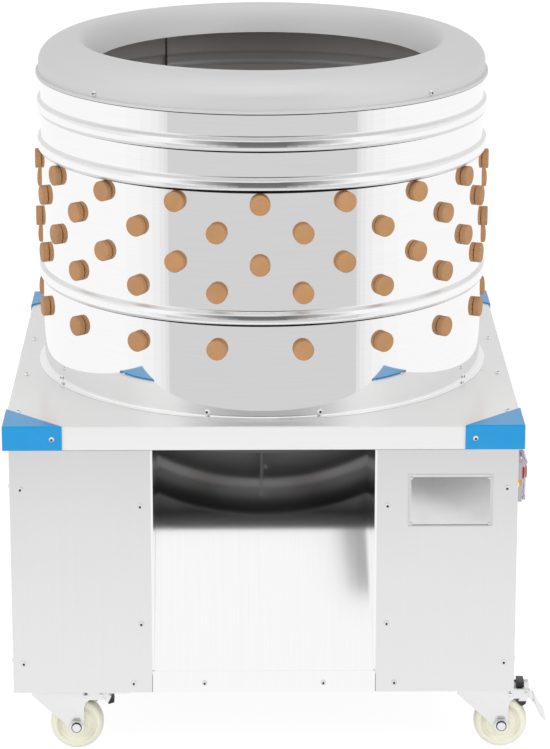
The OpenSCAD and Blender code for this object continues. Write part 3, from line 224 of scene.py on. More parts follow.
def coordinates(tree, stretch=(1, 1, 1), round_about=False):
    """Object coordinates, or the angle about the drum's axis and the height, each scaled."""
    place = add_node(tree, "ShaderNodeTexCoord").outputs["Object"]
    if round_about:
        axes = object_axes(tree)
        angle = maths(tree, "ARCTAN2", axes["Y"], axes["X"])
        place = add_node(tree, "ShaderNodeCombineXYZ", {"X": angle, "Z": axes["Z"]}).outputs[0]
    return add_node(
        tree, "ShaderNodeMapping", {"Vector": place, "Scale": stretch}).outputs["Vector"]


def noise(tree, vector, scale, detail=4.0, roughness=0.55):
    """A noise texture's value on the given coordinates."""
    return add_node(tree, "ShaderNodeTexNoise", {
        "Vector": vector, "Scale": scale, "Detail": detail, "Roughness": roughness,
    }).outputs["Fac"]


def between(tree, value, dark, light):
    """A colour between two, by a texture's value."""
    ramp = add_node(tree, "ShaderNodeValToRGB", {"Fac": value})
    for element, place, colour in zip(ramp.color_ramp.elements, NOISE_RANGE, (dark, light)):
        element.position = place
        element.color = (*colour, 1)
    return ramp.outputs["Color"]


def surfaced(tree, shader, colour, value, rough_low, rough_high):
    """Sets a shader's colour from a socket, and its roughness from a texture's value."""
    tree.links.new(colour, shader.inputs["Base Color"])
    rough = ranged(tree, value, *NOISE_RANGE, rough_low, rough_high)
    tree.links.new(rough, shader.inputs["Roughness"])


def bumped(tree, shader, value, strength, distance):
    """A fine relief on the shader's normal."""
    bump = add_node(tree, "ShaderNodeBump", {
        "Height": value, "Strength": strength, "Distance": distance})
    tree.links.new(bump.outputs["Normal"], shader.inputs["Normal"])


def shades(colour, down, up):
    """A darker and a lighter shade of a colour."""
    return tuple(c * down for c in colour), tuple(min(c * up, 1) for c in colour)


def sheet_steel(name, colour, stretch, rough, relief, round_about=False, metallic=1.0):
    """Stainless sheet with rolling or brushing lines along one direction."""
    material, tree, shader = new_material(name)
    lines = noise(tree, coordinates(tree, stretch, round_about), 1.0, 6.0, 0.6)
    clouds = noise(tree, coordinates(tree), 7.0, 2.0)
    mixed = maths(
        tree, "ADD", maths(tree, "MULTIPLY", clouds, 0.35), maths(tree, "MULTIPLY", lines, 0.65))
    colours = between(tree, lines, *shades(colour, 0.98, 1.01))
    surfaced(tree, shader, colours, mixed, rough * 0.90, rough * 1.10)
    shader.inputs["Metallic"].default_value = metallic
    bumped(tree, shader, lines, relief, SHEET_RELIEF)
    return material


def plain_finish(name, colour, rough, metallic=0.0, grain=300.0, relief=0.1, down=0.88, up=1.08,
                 shine=0.5):
    """A painted, plated, cast or moulded finish with mottling and a fine relief."""
    material, tree, shader = new_material(name)
    fine = noise(tree, coordinates(tree), grain)
    broad = noise(tree, coordinates(tree), 22.0, 3.0)
    colours = between(tree, broad, *shades(colour, down, up))
    surfaced(tree, shader, colours, fine, rough * 0.85, rough * 1.15)
    shader.inputs["Metallic"].default_value = metallic
    shader.inputs["Specular IOR Level"].default_value = shine
    bumped(tree, shader, fine, relief, PLAIN_RELIEF)
    return material


def clear_finish(name):
    """Clear moulded plastic with a slight lilac tint and faint flow marks."""
    material, tree, shader = new_material(name)
    flow = noise(tree, coordinates(tree, (1, 1, 3)), 60.0)
    colours = between(tree, flow, (0.80, 0.77, 0.86), (0.88, 0.86, 0.92))
    surfaced(tree, shader, colours, flow, 0.06, 0.14)
    shader.inputs["Transmission Weight"].default_value = 0.85
    shader.inputs["IOR"].default_value = 1.49
    return material


def ringed(material, rings, colour, rough):
    """Rings of another colour on a finish: lower edge, and height at the rear and in front."""
    tree = material.node_tree
    shader = principled(tree)
    axes = object_axes(tree)
    # About one at the drum's front, falling off towards its sides
    front = maths(tree, "MAXIMUM", maths(tree, "MULTIPLY", axes["Y"], -3.05), 0.0)
    share = maths(tree, "POWER", front, 5.0)
    mask = 0.0
    for level, rear, ahead in rings:
        up = maths(tree, "SUBTRACT", axes["Z"], level)
        height = maths(tree, "ADD", maths(tree, "MULTIPLY", share, ahead - rear), rear)
        above = maths(tree, "GREATER_THAN", up, 0.0)
        inside = maths(tree, "MULTIPLY", above, maths(tree, "LESS_THAN", up, height))
        mask = maths(tree, "ADD", mask, inside)
    # A mix node has sockets of its own for each kind of value
    for label, kind, value, first, result in (
            ("Base Color", "RGBA", (*colour, 1), 6, 2), ("Roughness", "FLOAT", rough, 2, 0)):
        plain = shader.inputs[label].links[0].from_socket
        blend = add_node(
            tree, "ShaderNodeMix", {0: mask, first: plain, first + 1: value}, data_type=kind)
        tree.links.new(blend.outputs[result], shader.inputs[label])


def grey(level):
    """A neutral colour."""
    return (level, level, level)


def make_finishes(colours, sizes):
    """All finishes of the object, by name."""
    steel, polish, zinc = tuple(colours.steel), tuple(colours.polish), tuple(colours.zinc)
    # Name, colour, stretch of the lines, roughness, relief, lines round the drum, metal share
    sheets = {
        "drum": ("polished drum steel", polish, (2.5, 1, 420), 0.035, 0.006, True),
        "drum_inside": (
            "rolled drum steel", (0.60, 0.61, 0.62), (2.0, 1, 260), 0.45, 0.03, True, 0.3),
        "ring": ("spun ring steel", grey(0.68), (2.0, 1, 500), 0.46, 0.008, True, 0.25),
        "panel": ("satin panel steel", steel, (420, 420, 3), 0.30, 0.008),
        "tray": ("satin tray steel", grey(0.89), (3, 420, 420), 0.22, 0.006, False, 0.35),
        "chute": ("brushed chute steel", polish, (520, 6, 6), 0.10, 0.012),
        # Near-black steel: painted shade on the undersides of the tray and the turning plate, and the dark colour
        # of the parts inside the cabinet and of the weld
        "inside": ("mill steel", grey(0.13), (4, 300, 300), 0.40, 0.04),
    }
    black, blue = (0.022, 0.022, 0.024), tuple(colours.blue_paint)
    finger, nylon = tuple(colours.finger_tan), tuple(colours.nylon)
    # Name, colour, roughness, metal share, grain, relief, darker and lighter shade, shine
    plain = {
        "zinc": ("bright zinc plate", zinc, 0.24, 1.0, 420, 0.05, 0.93, 1.05),
        "fork": ("zinc-plated pressing", zinc, 0.32, 1.0, 160, 0.004, 0.99, 1.01),
        "ground": ("ground steel", (0.66, 0.67, 0.68), 0.22, 1.0, 500, 0.05),
        "blue": ("blue gloss paint", blue, 0.20, 0.0, 500, 0.03, 0.97, 1.03, 0.55),
        "finger": ("tan finger rubber", finger, 0.62, 0.0, 420, 0.18, 0.90, 1.07),
        "nylon": ("cream nylon", nylon, 0.34, 0.0, 180, 0.05, 0.95, 1.03),
        "rubber": ("black rubber", black, 0.65, 0.0, 350, 0.15),
        "frame": ("frame paint", (0.10, 0.105, 0.11), 0.45, 0.0, 350, 0.15),
        "iron": ("machined iron", (0.28, 0.28, 0.29), 0.45, 1.0, 260, 0.2),
        "motor": ("motor paint", (0.10, 0.15, 0.19), 0.40, 0.0, 300, 0.12),
        "black": ("black moulding", black, 0.42, 0.0, 450, 0.12),
        "housing": ("pale moulding", (0.56, 0.53, 0.58), 0.38, 0.0, 450, 0.08, 0.95, 1.04),
        "red": ("red moulding", (0.66, 0.012, 0.012), 0.28, 0.0, 450, 0.05, 0.94, 1.05),
        "green": ("green moulding", (0.02, 0.30, 0.06), 0.30, 0.0, 450, 0.05, 0.94, 1.05),
        "label": ("bare plate metal", (0.76, 0.76, 0.77), 0.38, 1.0, 600, 0.06, 0.95, 1.05),
    }
    FINISHES.update({key: sheet_steel(*row) for key, row in sheets.items()})
    FINISHES.update({key: plain_finish(*row) for key, row in plain.items()})
    FINISHES["clear"] = clear_finish("clear cover")
    lows = [TRAY_TOP + bead - sizes.bead_height / 2 for bead in BEADS]
    for rise, height, level in CREASES:
        creases = [(low + rise, height, height) for low in lows]
        ringed(FINISHES["drum"], creases, grey(level), LINE_ROUGH)
    # Painted shade: a black line under each bead, taller in front
    lines = [(low, SHADE_LINE_REAR, front) for low, front in zip(lows, SHADE_LINE_FRONT)]
    ringed(FINISHES["drum"], lines, PAINTED_SHADE_BLACK, LINE_ROUGH)
    # Painted shade along the lower edge of the ring's hem
    ringed(FINISHES["ring"], [HEM_PAINTED_SHADE], PAINTED_SHADE_BLACK, LINE_ROUGH)
    stripe = sum(corner.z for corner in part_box("switch_housing")) / 2 + STRIPE_LOW
    ringed(FINISHES["housing"], [(stripe, STRIPE_HEIGHT, STRIPE_HEIGHT)], STRIPE_ORANGE,
           STRIPE_ROUGH)


# Mesh tools

# Least angle of an edge that is eased, before and after the folds are rounded, in degrees
EDGE_ANGLE, EDGE_ANGLE_AFTER = 35, 50
FOLD_STEPS, EDGE_STEPS = 4, 2


def mesh_from(name, bm, smooth_angle=35.0):
    """A mesh from a bmesh, smooth but for edges sharper than the angle."""
    bmesh.ops.recalc_face_normals(bm, faces=bm.faces)
    mesh = bpy.data.meshes.new(name)
    bm.to_mesh(mesh)
    bm.free()
    if smooth_angle:
        mesh.shade_smooth()
        mesh.set_sharp_from_angle(angle=radians(smooth_angle))
    return mesh


def new_object(name, mesh, finish=None):
    """An object at the origin with one finish."""
    obj = bpy.data.objects.new(name, mesh)
    bpy.context.scene.collection.objects.link(obj)
    if finish:
        mesh.materials.clear()
        mesh.materials.append(FINISHES[finish])
    return obj


def dress(obj, body, slot, *replaced):
    """Sets a piece on its body in place of CAD nodes; its slot is not used."""
    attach(obj, body)
    if replaced:
        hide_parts(*replaced)
    return obj


def stand_in(obj, *nodes):
    """Sets a piece on the body of the CAD nodes that it replaces."""
    return dress(obj, BODY_OF[nodes[0]], SLOT_OF[nodes[0]], *nodes)


def coat(node, finish):
    """Gives a finish to a CAD node that keeps its shape."""
    materials = frame["nodes"][node].data.materials
    materials.clear()
    materials.append(FINISHES[finish])


def lathed(outline, steps, closed=True, hexagon=()):
    """A bmesh turned about Z from (radius, height) points; those in hexagon get six flats."""
    bm = bmesh.new()
    rings = []
    for index, (radius, height) in enumerate(outline):
        ring = []
        for step in range(steps):
            angle = 2 * pi * step / steps
            reach = radius
            if index in hexagon:
                reach = radius * cos(pi / 6) / cos(angle % (pi / 3) - pi / 6)
            ring.append(bm.verts.new((reach * cos(angle), reach * sin(angle), height)))
        rings.append(ring)
    for low, high in zip(rings, rings[1:] + (rings[:1] if closed else [])):
        for step in range(steps):
            bm.faces.new((low[step - 1], low[step], high[step], high[step - 1]))
    on_axis = [vert for ring, (radius, _) in zip(rings, outline) if not radius for vert in ring]
    bmesh.ops.remove_doubles(bm, verts=on_axis, dist=1e-7)
    return bm


def turned(name, outline, steps, smooth_angle, finish, hexagon=()):
    """An object turned about Z from an open outline that starts and ends on the axis."""
    bm = lathed(outline, steps, closed=False, hexagon=hexagon)
    return new_object(name, mesh_from(name, bm, smooth_angle), finish)


def lofted(rings):
    """A bmesh through rings of points, with flat ends."""
    bm = bmesh.new()
    rows = [[bm.verts.new(point) for point in ring] for ring in rings]
    for row, follow in zip(rows, rows[1:]):
        for index in range(len(row)):
            bm.faces.new((row[index - 1], row[index], follow[index], follow[index - 1]))
    bm.faces.new(rows[0])
    bm.faces.new(rows[-1])
    return bm


def rounded(points, radius, steps=4):
    """An open path with its inner corners rounded."""
    path = [points[0]]
    for before, corner, after in zip(points, points[1:], points[2:]):
        b, c, a = Vector(before), Vector(corner), Vector(after)
        reach = min(radius, (b - c).length * 0.45, (a - c).length * 0.45)
        start, end = c + (b - c).normalized() * reach, c + (a - c).normalized() * reach
        for step in range(steps + 1):
            t = step / steps
            path.append(tuple(start * (1 - t) ** 2 + c * 2 * t * (1 - t) + end * t ** 2))
    path.append(points[-1])
    return path


def merged_copy(node):
    """A welded bmesh copy of a CAD node with its flat faces joined up."""
    bm = bmesh.new()
    bm.from_mesh(frame["nodes"][node].data)
    bmesh.ops.remove_doubles(bm, verts=bm.verts, dist=2e-6)
    bmesh.ops.dissolve_limit(
        bm, angle_limit=radians(0.4), use_dissolve_boundaries=False, verts=bm.verts,
        edges=bm.edges)
    return bm


def sharp_edges(bm, angle, shortest):
    """Edges that turn by more than the angle, in degrees, and are long enough."""
    return [edge for edge in bm.edges
            if len(edge.link_faces) == 2 and edge.calc_face_angle(0) > radians(angle)
            and edge.calc_length() > shortest]


def bevel(bm, edges, offset, segments):
    """Rounds edges."""
    bmesh.ops.bevel(bm, geom=edges, offset=offset, segments=segments, profile=0.5,
                    affect="EDGES", clamp_overlap=True)


def eased(node, name, finish, ease, shortest=0.005, smooth_angle=None, folds=None, fold_ease=0.0):
    """A copy of a CAD node with its long edges eased and its folds rounded, in its place."""
    bm = merged_copy(node)
    for face in bm.faces:
        face.smooth = False
    sharp = sharp_edges(bm, EDGE_ANGLE, shortest)
    if folds:
        bevel(bm, [edge for edge in sharp if folds(edge)], fold_ease, FOLD_STEPS)
        sharp = sharp_edges(bm, EDGE_ANGLE_AFTER, shortest)
    bevel(bm, sharp, ease, EDGE_STEPS)
    return stand_in(new_object(name, mesh_from(name, bm, smooth_angle), finish), node)


def outer_folds(high):
    """A test for the folds of a box about the origin: its upper edges and its upright ones."""
    def is_fold(edge):
        ends = [vert.co for vert in edge.verts]
        sides = [all(abs(abs(end[axis]) - high[axis]) < 1e-5 for end in ends) for axis in (0, 1)]
        at_top = all(abs(end.z - high.z) < 1e-5 for end in ends)
        return all(sides) or (at_top and any(sides))

    return is_fold


def refinish(obj, finish, chosen):
    """Gives the chosen faces of an object another finish."""
    obj.data.materials.append(FINISHES[finish])
    for face in obj.data.polygons:
        if chosen(face):
            face.material_index = len(obj.data.materials) - 1


def looks_down(face):
    """Whether a face is on the underside of a sheet."""
    return face.normal.z < -0.5


def cut(obj, place, way):
    """Splits an object's faces along a plane."""
    bm = bmesh.new()
    bm.from_mesh(obj.data)
    bmesh.ops.bisect_plane(
        bm, geom=[*bm.verts, *bm.edges, *bm.faces], plane_co=place, plane_no=way)
    bm.to_mesh(obj.data)
    bm.free()


def islands(node):
    """Lowest and highest corner of each separate solid of a CAD node."""
    bm = merged_copy(node)
    seen, boxes = set(), []
    for start in bm.verts:
        if start.index in seen:
            continue
        stack, group = [start], []
        seen.add(start.index)
        while stack:
            vert = stack.pop()
            group.append(vert.co.copy())
            for edge in vert.link_edges:
                other = edge.other_vert(vert)
                if other.index not in seen:
                    seen.add(other.index)
                    stack.append(other)
        boxes.append(tuple(Vector([pick(co[i] for co in group) for i in range(3)])
                           for pick in (min, max)))
    bm.free()
    return boxes


# Geometry node trees


def new_tree(name, inputs):
    """An empty geometry tree, and the sockets of its named inputs."""
    tree = bpy.data.node_groups.new(name, "GeometryNodeTree")
    for label, kind in inputs.items():
        tree.interface.new_socket(label, in_out="INPUT", socket_type="NodeSocket" + kind)
    tree.interface.new_socket("Geometry", in_out="OUTPUT", socket_type="NodeSocketGeometry")
    return tree, add_node(tree, "NodeGroupInput").outputs


def instances_on(tree, given, points, direction):
    """Ends a tree: the piece on each point, facing the direction, made real with its finish."""
    piece = add_node(tree, "GeometryNodeObjectInfo", {"Object": given["Piece"]})
    turn = add_node(tree, "FunctionNodeAlignRotationToVector", {"Vector": direction}, axis="Z")
    placed = add_node(tree, "GeometryNodeInstanceOnPoints", {
        "Points": points, "Instance": piece.outputs["Geometry"],
        "Rotation": turn.outputs["Rotation"]})
    real = add_node(
        tree, "GeometryNodeRealizeInstances", {"Geometry": placed.outputs["Instances"]})
    coated = add_node(tree, "GeometryNodeSetMaterial", {
        "Geometry": real.outputs["Geometry"], "Material": given["Finish"]})
    add_node(tree, "NodeGroupOutput", {"Geometry": coated.outputs["Geometry"]})
    return tree


def ring_tree():
    """Pieces at even steps round the drum's axis, facing outwards, up or down."""
    tree, given = new_tree("Ring of pieces", {
        "Piece": "Object", "Finish": "Material", "Count": "Int", "Radius": "Float",
        "Height": "Float", "Start angle": "Float", "Outwards": "Float", "Upwards": "Float"})

    def upright(label):
        return add_node(tree, "ShaderNodeCombineXYZ", {"Z": given[label]}).outputs[0]

    def vector(operation, sockets):
        return add_node(tree, "ShaderNodeVectorMath", sockets, operation=operation).outputs[0]

    circle = add_node(tree, "GeometryNodeMeshCircle", {
        "Vertices": given["Count"], "Radius": given["Radius"]})
    moved = add_node(tree, "GeometryNodeTransform", {
        "Geometry": circle.outputs["Mesh"], "Translation": upright("Height"),
        "Rotation": upright("Start angle")})
    place = add_node(tree, "GeometryNodeInputPosition").outputs[0]
    unit = vector("NORMALIZE", {0: vector("MULTIPLY", {0: place, 1: (1, 1, 0)})})
    out = vector("SCALE", {0: unit, "Scale": given["Outwards"]})
    way = vector("ADD", {0: out, 1: upright("Upwards")})
    return instances_on(tree, given, moved.outputs["Geometry"], way)


def points_tree():
    """Pieces on the points of a mesh, each facing that point's own direction."""
    tree, given = new_tree("Pieces on points", {
        "Geometry": "Geometry", "Piece": "Object", "Finish": "Material"})
    facing = add_node(
        tree, "GeometryNodeInputNamedAttribute", {"Name": "facing"}, data_type="FLOAT_VECTOR")
    return instances_on(tree, given, given["Geometry"], facing.outputs["Attribute"])


def grown(tree, carrier_mesh, values):
    """The plain mesh that a tree makes on a carrier, with its inputs set by identifier."""
    carrier = new_object("carrier", carrier_mesh)
    modifier = carrier.modifiers.new("grow", "NODES")
    modifier.node_group = tree
    for item in tree.interface.items_tree:
        if item.in_out == "INPUT" and item.name in values:
            modifier[item.identifier] = values[item.name]
    depsgraph = bpy.context.evaluated_depsgraph_get()
    mesh = bpy.data.meshes.new_from_object(carrier.evaluated_get(depsgraph))
    bpy.data.objects.remove(carrier)
    if not mesh.polygons:
        raise RuntimeError(tree.name + " made no faces")
    return mesh


def on_points(tree, name, piece, finish, places):
    """An object with the piece at every place, which is a point and the way it faces."""
    points = bpy.data.meshes.new("places")
    points.from_pydata([place for place, _ in places], [], [])
    facing = points.attributes.new("facing", "FLOAT_VECTOR", "POINT")
    for index, (_, way) in enumerate(places):
        facing.data[index].vector = way
    mesh = grown(tree, points, {"Piece": piece, "Finish": FINISHES[finish]})
    return new_object(name, mesh, finish)


# Pieces


class PieceOperator:
    """What the operators share."""

    bl_options = {"REGISTER", "UNDO"}

    def sizes(self, context):
        return context.scene.plucker_sizes


class PLUCKER_OT_drum(PieceOperator, bpy.types.Operator):
    """Turn the beaded drum wall, its weld and the rolled top ring"""

    bl_idname = "plucker.drum"
    bl_label = "Drum and top ring"

    # Steps of a turn, of a bead's height and of each side of the ring's arch
    STEPS, ARC_STEPS = 320, 24
    # How far the wall reaches into the ring
    TUCK = 0.016
    # Bend of the foot, and where the plain wall above it starts and ends
    FOOT_BEND, FOOT_RISE, FOOT_END = 0.0022, 0.006, 0.02
    # Shares of a bead's height where its underside, its rounding and its broad back end
    UNDERSIDE, ROUNDING, BACK = 0.04, 0.34, 0.74
    # Share of a bead's depth that its back loses
    SAG = 0.16
    # Plain wall kept beside each bead
    BESIDE_BEAD = 0.0012
    # Height of the hem's fold, of the ring's shoulder and of its mouth, from the hem
    HEM_FOLD, SHOULDER, MOUTH = 0.0055, 0.0185, 0.0115
    HEM_OUT, HEM_BEND = 0.004, 0.0014
    # Play between the wall and the ring
    RING_PLAY = 0.0005
    # The weld, left of the rear: angle, half width, depth and steps
    WELD_ANGLE, WELD_HALF, WELD_DEPTH, WELD_STEPS = 117, 0.0019, 0.0011, 150
    # How deep it sits in the wall, its gap to the wall's top, and its ripple's depth and turn
    WELD_SINK, WELD_GAP, RIPPLE, RIPPLE_TURN = 0.0004, 0.006, 0.12, 2.4

    def bulge(self, t):
        """Share of a bead's depth at a share of its height."""
        if t < self.UNDERSIDE:
            return 0.5 * t / self.UNDERSIDE
        if t < self.ROUNDING:
            turn = (t - self.UNDERSIDE) / (self.ROUNDING - self.UNDERSIDE)
            return 0.5 + 0.5 * sin(pi / 2 * turn)
        span = self.BACK - self.ROUNDING
        if t < self.BACK:
            return 1 - self.SAG * ((t - self.ROUNDING) / span) ** 2
        # The short fall to the wall goes on at the back's own slope
        slope = 2 * self.SAG * (1 - self.BACK) / span
        w = (t - self.BACK) / (1 - self.BACK)
        fall = 2 * w ** 3 - 3 * w ** 2 + 1
        return (1 - self.SAG) * fall - slope * (w ** 3 - 2 * w ** 2 + w)

    def wall_side(self, sizes, radius, high):
        """One side of the wall, from its foot to its top."""
        path = []
        for bead in BEADS:
            low = TRAY_TOP + bead - sizes.bead_height / 2
            path.append((radius, low - self.BESIDE_BEAD))
            for step in range(self.ARC_STEPS + 1):
                t = step / self.ARC_STEPS
                path.append((radius + sizes.bead_out * self.bulge(t), low + t * sizes.bead_height))
            path.append((radius, low + sizes.bead_height + self.BESIDE_BEAD))
        path.append((radius, high))
        return path

    def execute(self, context):
        sizes = self.sizes(context)
        radius, sheet = sizes.drum_radius, sizes.sheet
        high = HEM_Z + self.TUCK
        foot, flange_top = radius + sizes.foot_flange, TRAY_TOP + sheet
        base = rounded([
            (radius - sheet, TRAY_TOP), (foot, TRAY_TOP), (foot, flange_top), (radius, flange_top),
            (radius, TRAY_TOP + self.FOOT_RISE), (radius, TRAY_TOP + self.FOOT_END)], self.FOOT_BEND)
        outer = self.wall_side(sizes, radius, high)
        inner = self.wall_side(sizes, radius - sheet, high)
        wall = lathed(base + outer + inner[::-1], self.STEPS)
        bmesh.ops.recalc_face_normals(wall, faces=wall.faces)
        for face in wall.faces:
            middle = face.calc_center_median()
            outwards = face.normal.x * middle.x + face.normal.y * middle.y
            face.material_index = 1 if outwards < -0.02 else 0
        mesh = mesh_from("drum_wall", wall, 40)
        mesh.materials.append(FINISHES["drum"])
        mesh.materials.append(FINISHES["drum_inside"])
        stand_in(new_object("drum_wall", mesh), "drum_shell")
        self.weld(radius - sheet, TRAY_TOP + self.FOOT_END, high - self.WELD_GAP)
        self.ring(sizes)
        return {"FINISHED"}

    def weld(self, radius, low, high):
        """The upright weld down the inside of the wall."""
        angle = radians(self.WELD_ANGLE)
        middle = Vector((cos(angle), sin(angle), 0)) * (radius + self.WELD_SINK)
        across = Vector((-sin(angle), cos(angle), 0)) * self.WELD_HALF
        inward = -middle.normalized() * self.WELD_DEPTH
        turns = [pi * side / 6 for side in range(7)]
        rows = []
        for step in range(self.WELD_STEPS + 1):
            ripple = 1 + self.RIPPLE * sin(step * self.RIPPLE_TURN)
            place = middle + Vector((0, 0, low + (high - low) * step / self.WELD_STEPS))
            rows.append([place + (across * cos(turn) + inward * sin(turn)) * ripple
                         for turn in turns])
        mesh = mesh_from("drum_weld", lofted(rows), 60)
        dress(new_object("drum_weld", mesh, "inside"), "cabinet", "polished_steel")

    def ring(self, sizes):
        """The ring's arch with its folded hem."""
        sheet, crest, steps = sizes.sheet, sizes.crest_radius, self.ARC_STEPS
        wall = sizes.drum_radius + self.RING_PLAY + sheet
        shoulder, mouth = HEM_Z + self.SHOULDER, HEM_Z + self.MOUTH
        fold, lip = HEM_Z + self.HEM_FOLD, wall + self.HEM_OUT

        def side(rise, drop, top):
            """One side of the sheet, from the shoulder over the crest to the mouth."""
            turns = [pi / 2 * i / steps for i in range(steps + 1)]
            path = [(crest + rise * cos(turn), shoulder + (top - shoulder) * sin(turn))
                    for turn in turns]
            return path + [
                (crest - drop * i / steps, mouth + (top - mouth) * (1 - (i / steps) ** 2))
                for i in range(1, steps + 1)]

        hem = rounded([(wall - sheet, HEM_Z), (lip, HEM_Z), (lip, fold), (wall, fold),
                       (wall, shoulder)], self.HEM_BEND)
        rise, drop = wall - crest, crest - sizes.mouth_radius
        outer = side(rise, drop, RING_TOP)[1:]
        inner = side(rise - sheet, drop - sheet, RING_TOP - sheet)
        mesh = mesh_from("top_ring_arch", lathed(hem + outer + inner[::-1], self.STEPS), 40)
        stand_in(new_object("top_ring_arch", mesh, "ring"), "top_ring")


class PLUCKER_OT_fingers(PieceOperator, bpy.types.Operator):
    """Mould the rubber fingers and set them round the drum wall and on the turning plate"""

    bl_idname = "plucker.fingers"
    bl_label = "Rubber fingers"

    # Height above the tray and the share of a step that the row is turned by
    WALL_ROWS = ((0.098, 0.5), (0.178, 0.5), (0.218, 0.0), (0.262, 0.5), (0.303, 0.0))
    # Radius and count of each ring on the plate
    PLATE_RINGS = ((0.080, 8), (0.139575, 12), (0.19915, 20))
    # Turn of all the wall's rows, in degrees
    TURN = -0.8
    # Inputs of the ring tree that a row sets
    ROW_INPUTS = ("Count", "Radius", "Height", "Start angle", "Outwards", "Upwards")
    # Length of the ribbed finger, its radius at the root and at the tip, and its ribs
    LENGTH, ROOT, TIP, RIBS = 0.086, 0.0084, 0.0060, 6
    # Radius of the neck in the sheet's hole
    NECK = 0.0098
    # Radius and height of each point of a rib's outline, from the finger and the rib's middle
    RIB = ((0, 0.0026), (0.0011, 0.0013), (0.0014, 0), (0.0011, -0.0013), (0, -0.0026))

    def finger(self, sizes, wall):
        """One finger through a sheet at zero: head up, ribbed finger down."""
        head, neck, root = sizes.finger_head, self.NECK, self.ROOT
        low = -wall - 0.00035
        body = low - 0.005
        path = [
            (0, 0.0089), (head - 0.0026, 0.0090), (head - 0.0014, 0.0090), (head - 0.0005, 0.0086),
            (head, 0.0077), (head, 0.0007), (head - 0.0006, 0.0001), (neck, 0.0001), (neck, low),
            (0.0127, low), (0.0130, low - 0.0004), (0.0130, body + 0.001), (0.0120, body),
            (0.0088, body - 0.0004), (root, body - 0.002)]
        slope = (root - self.TIP) / self.LENGTH
        for rib in range(1, self.RIBS + 1):
            down = rib * self.LENGTH / (self.RIBS + 1)
            path += [(root - slope * down + out, body - down + up) for out, up in self.RIB]
        end = body - self.LENGTH
        path += [(self.TIP, end + 0.001), (0.0054, end - 0.001), (0.0038, end - 0.0018),
                 (0, end - 0.002)]
        return turned("finger", path, 24, 42, "finger")

    def execute(self, context):
        sizes = self.sizes(context)
        tree = ring_tree()
        count = sizes.fingers_per_row
        wall = [(count, sizes.drum_radius, TRAY_TOP + height,
                 radians(share * 360 / count - 90 + self.TURN), 1.0, 0.0)
                for height, share in self.WALL_ROWS]
        plate = [(number, radius, PLATE_LOW, pi / number, 0.0, -1.0)
                 for radius, number in self.PLATE_RINGS]
        for name, rows, sheet, node in (
                ("drum_fingers", wall, sizes.sheet, "wall_fingers"),
                ("turning_fingers", plate, PLATE_TOP - PLATE_LOW, "plate_fingers")):
            finger = self.finger(sizes, sheet)
            given = {"Piece": finger, "Finish": FINISHES["finger"]}
            bm = bmesh.new()
            for row in rows:
                values = {**given, **dict(zip(self.ROW_INPUTS, row))}
                bm.from_mesh(grown(tree, bpy.data.meshes.new("row"), values))
            mesh = bpy.data.meshes.new(name)
            bm.to_mesh(mesh)
            bm.free()
            stand_in(new_object(name, mesh, "finger"), node)
            bpy.data.objects.remove(finger)
        return {"FINISHED"}


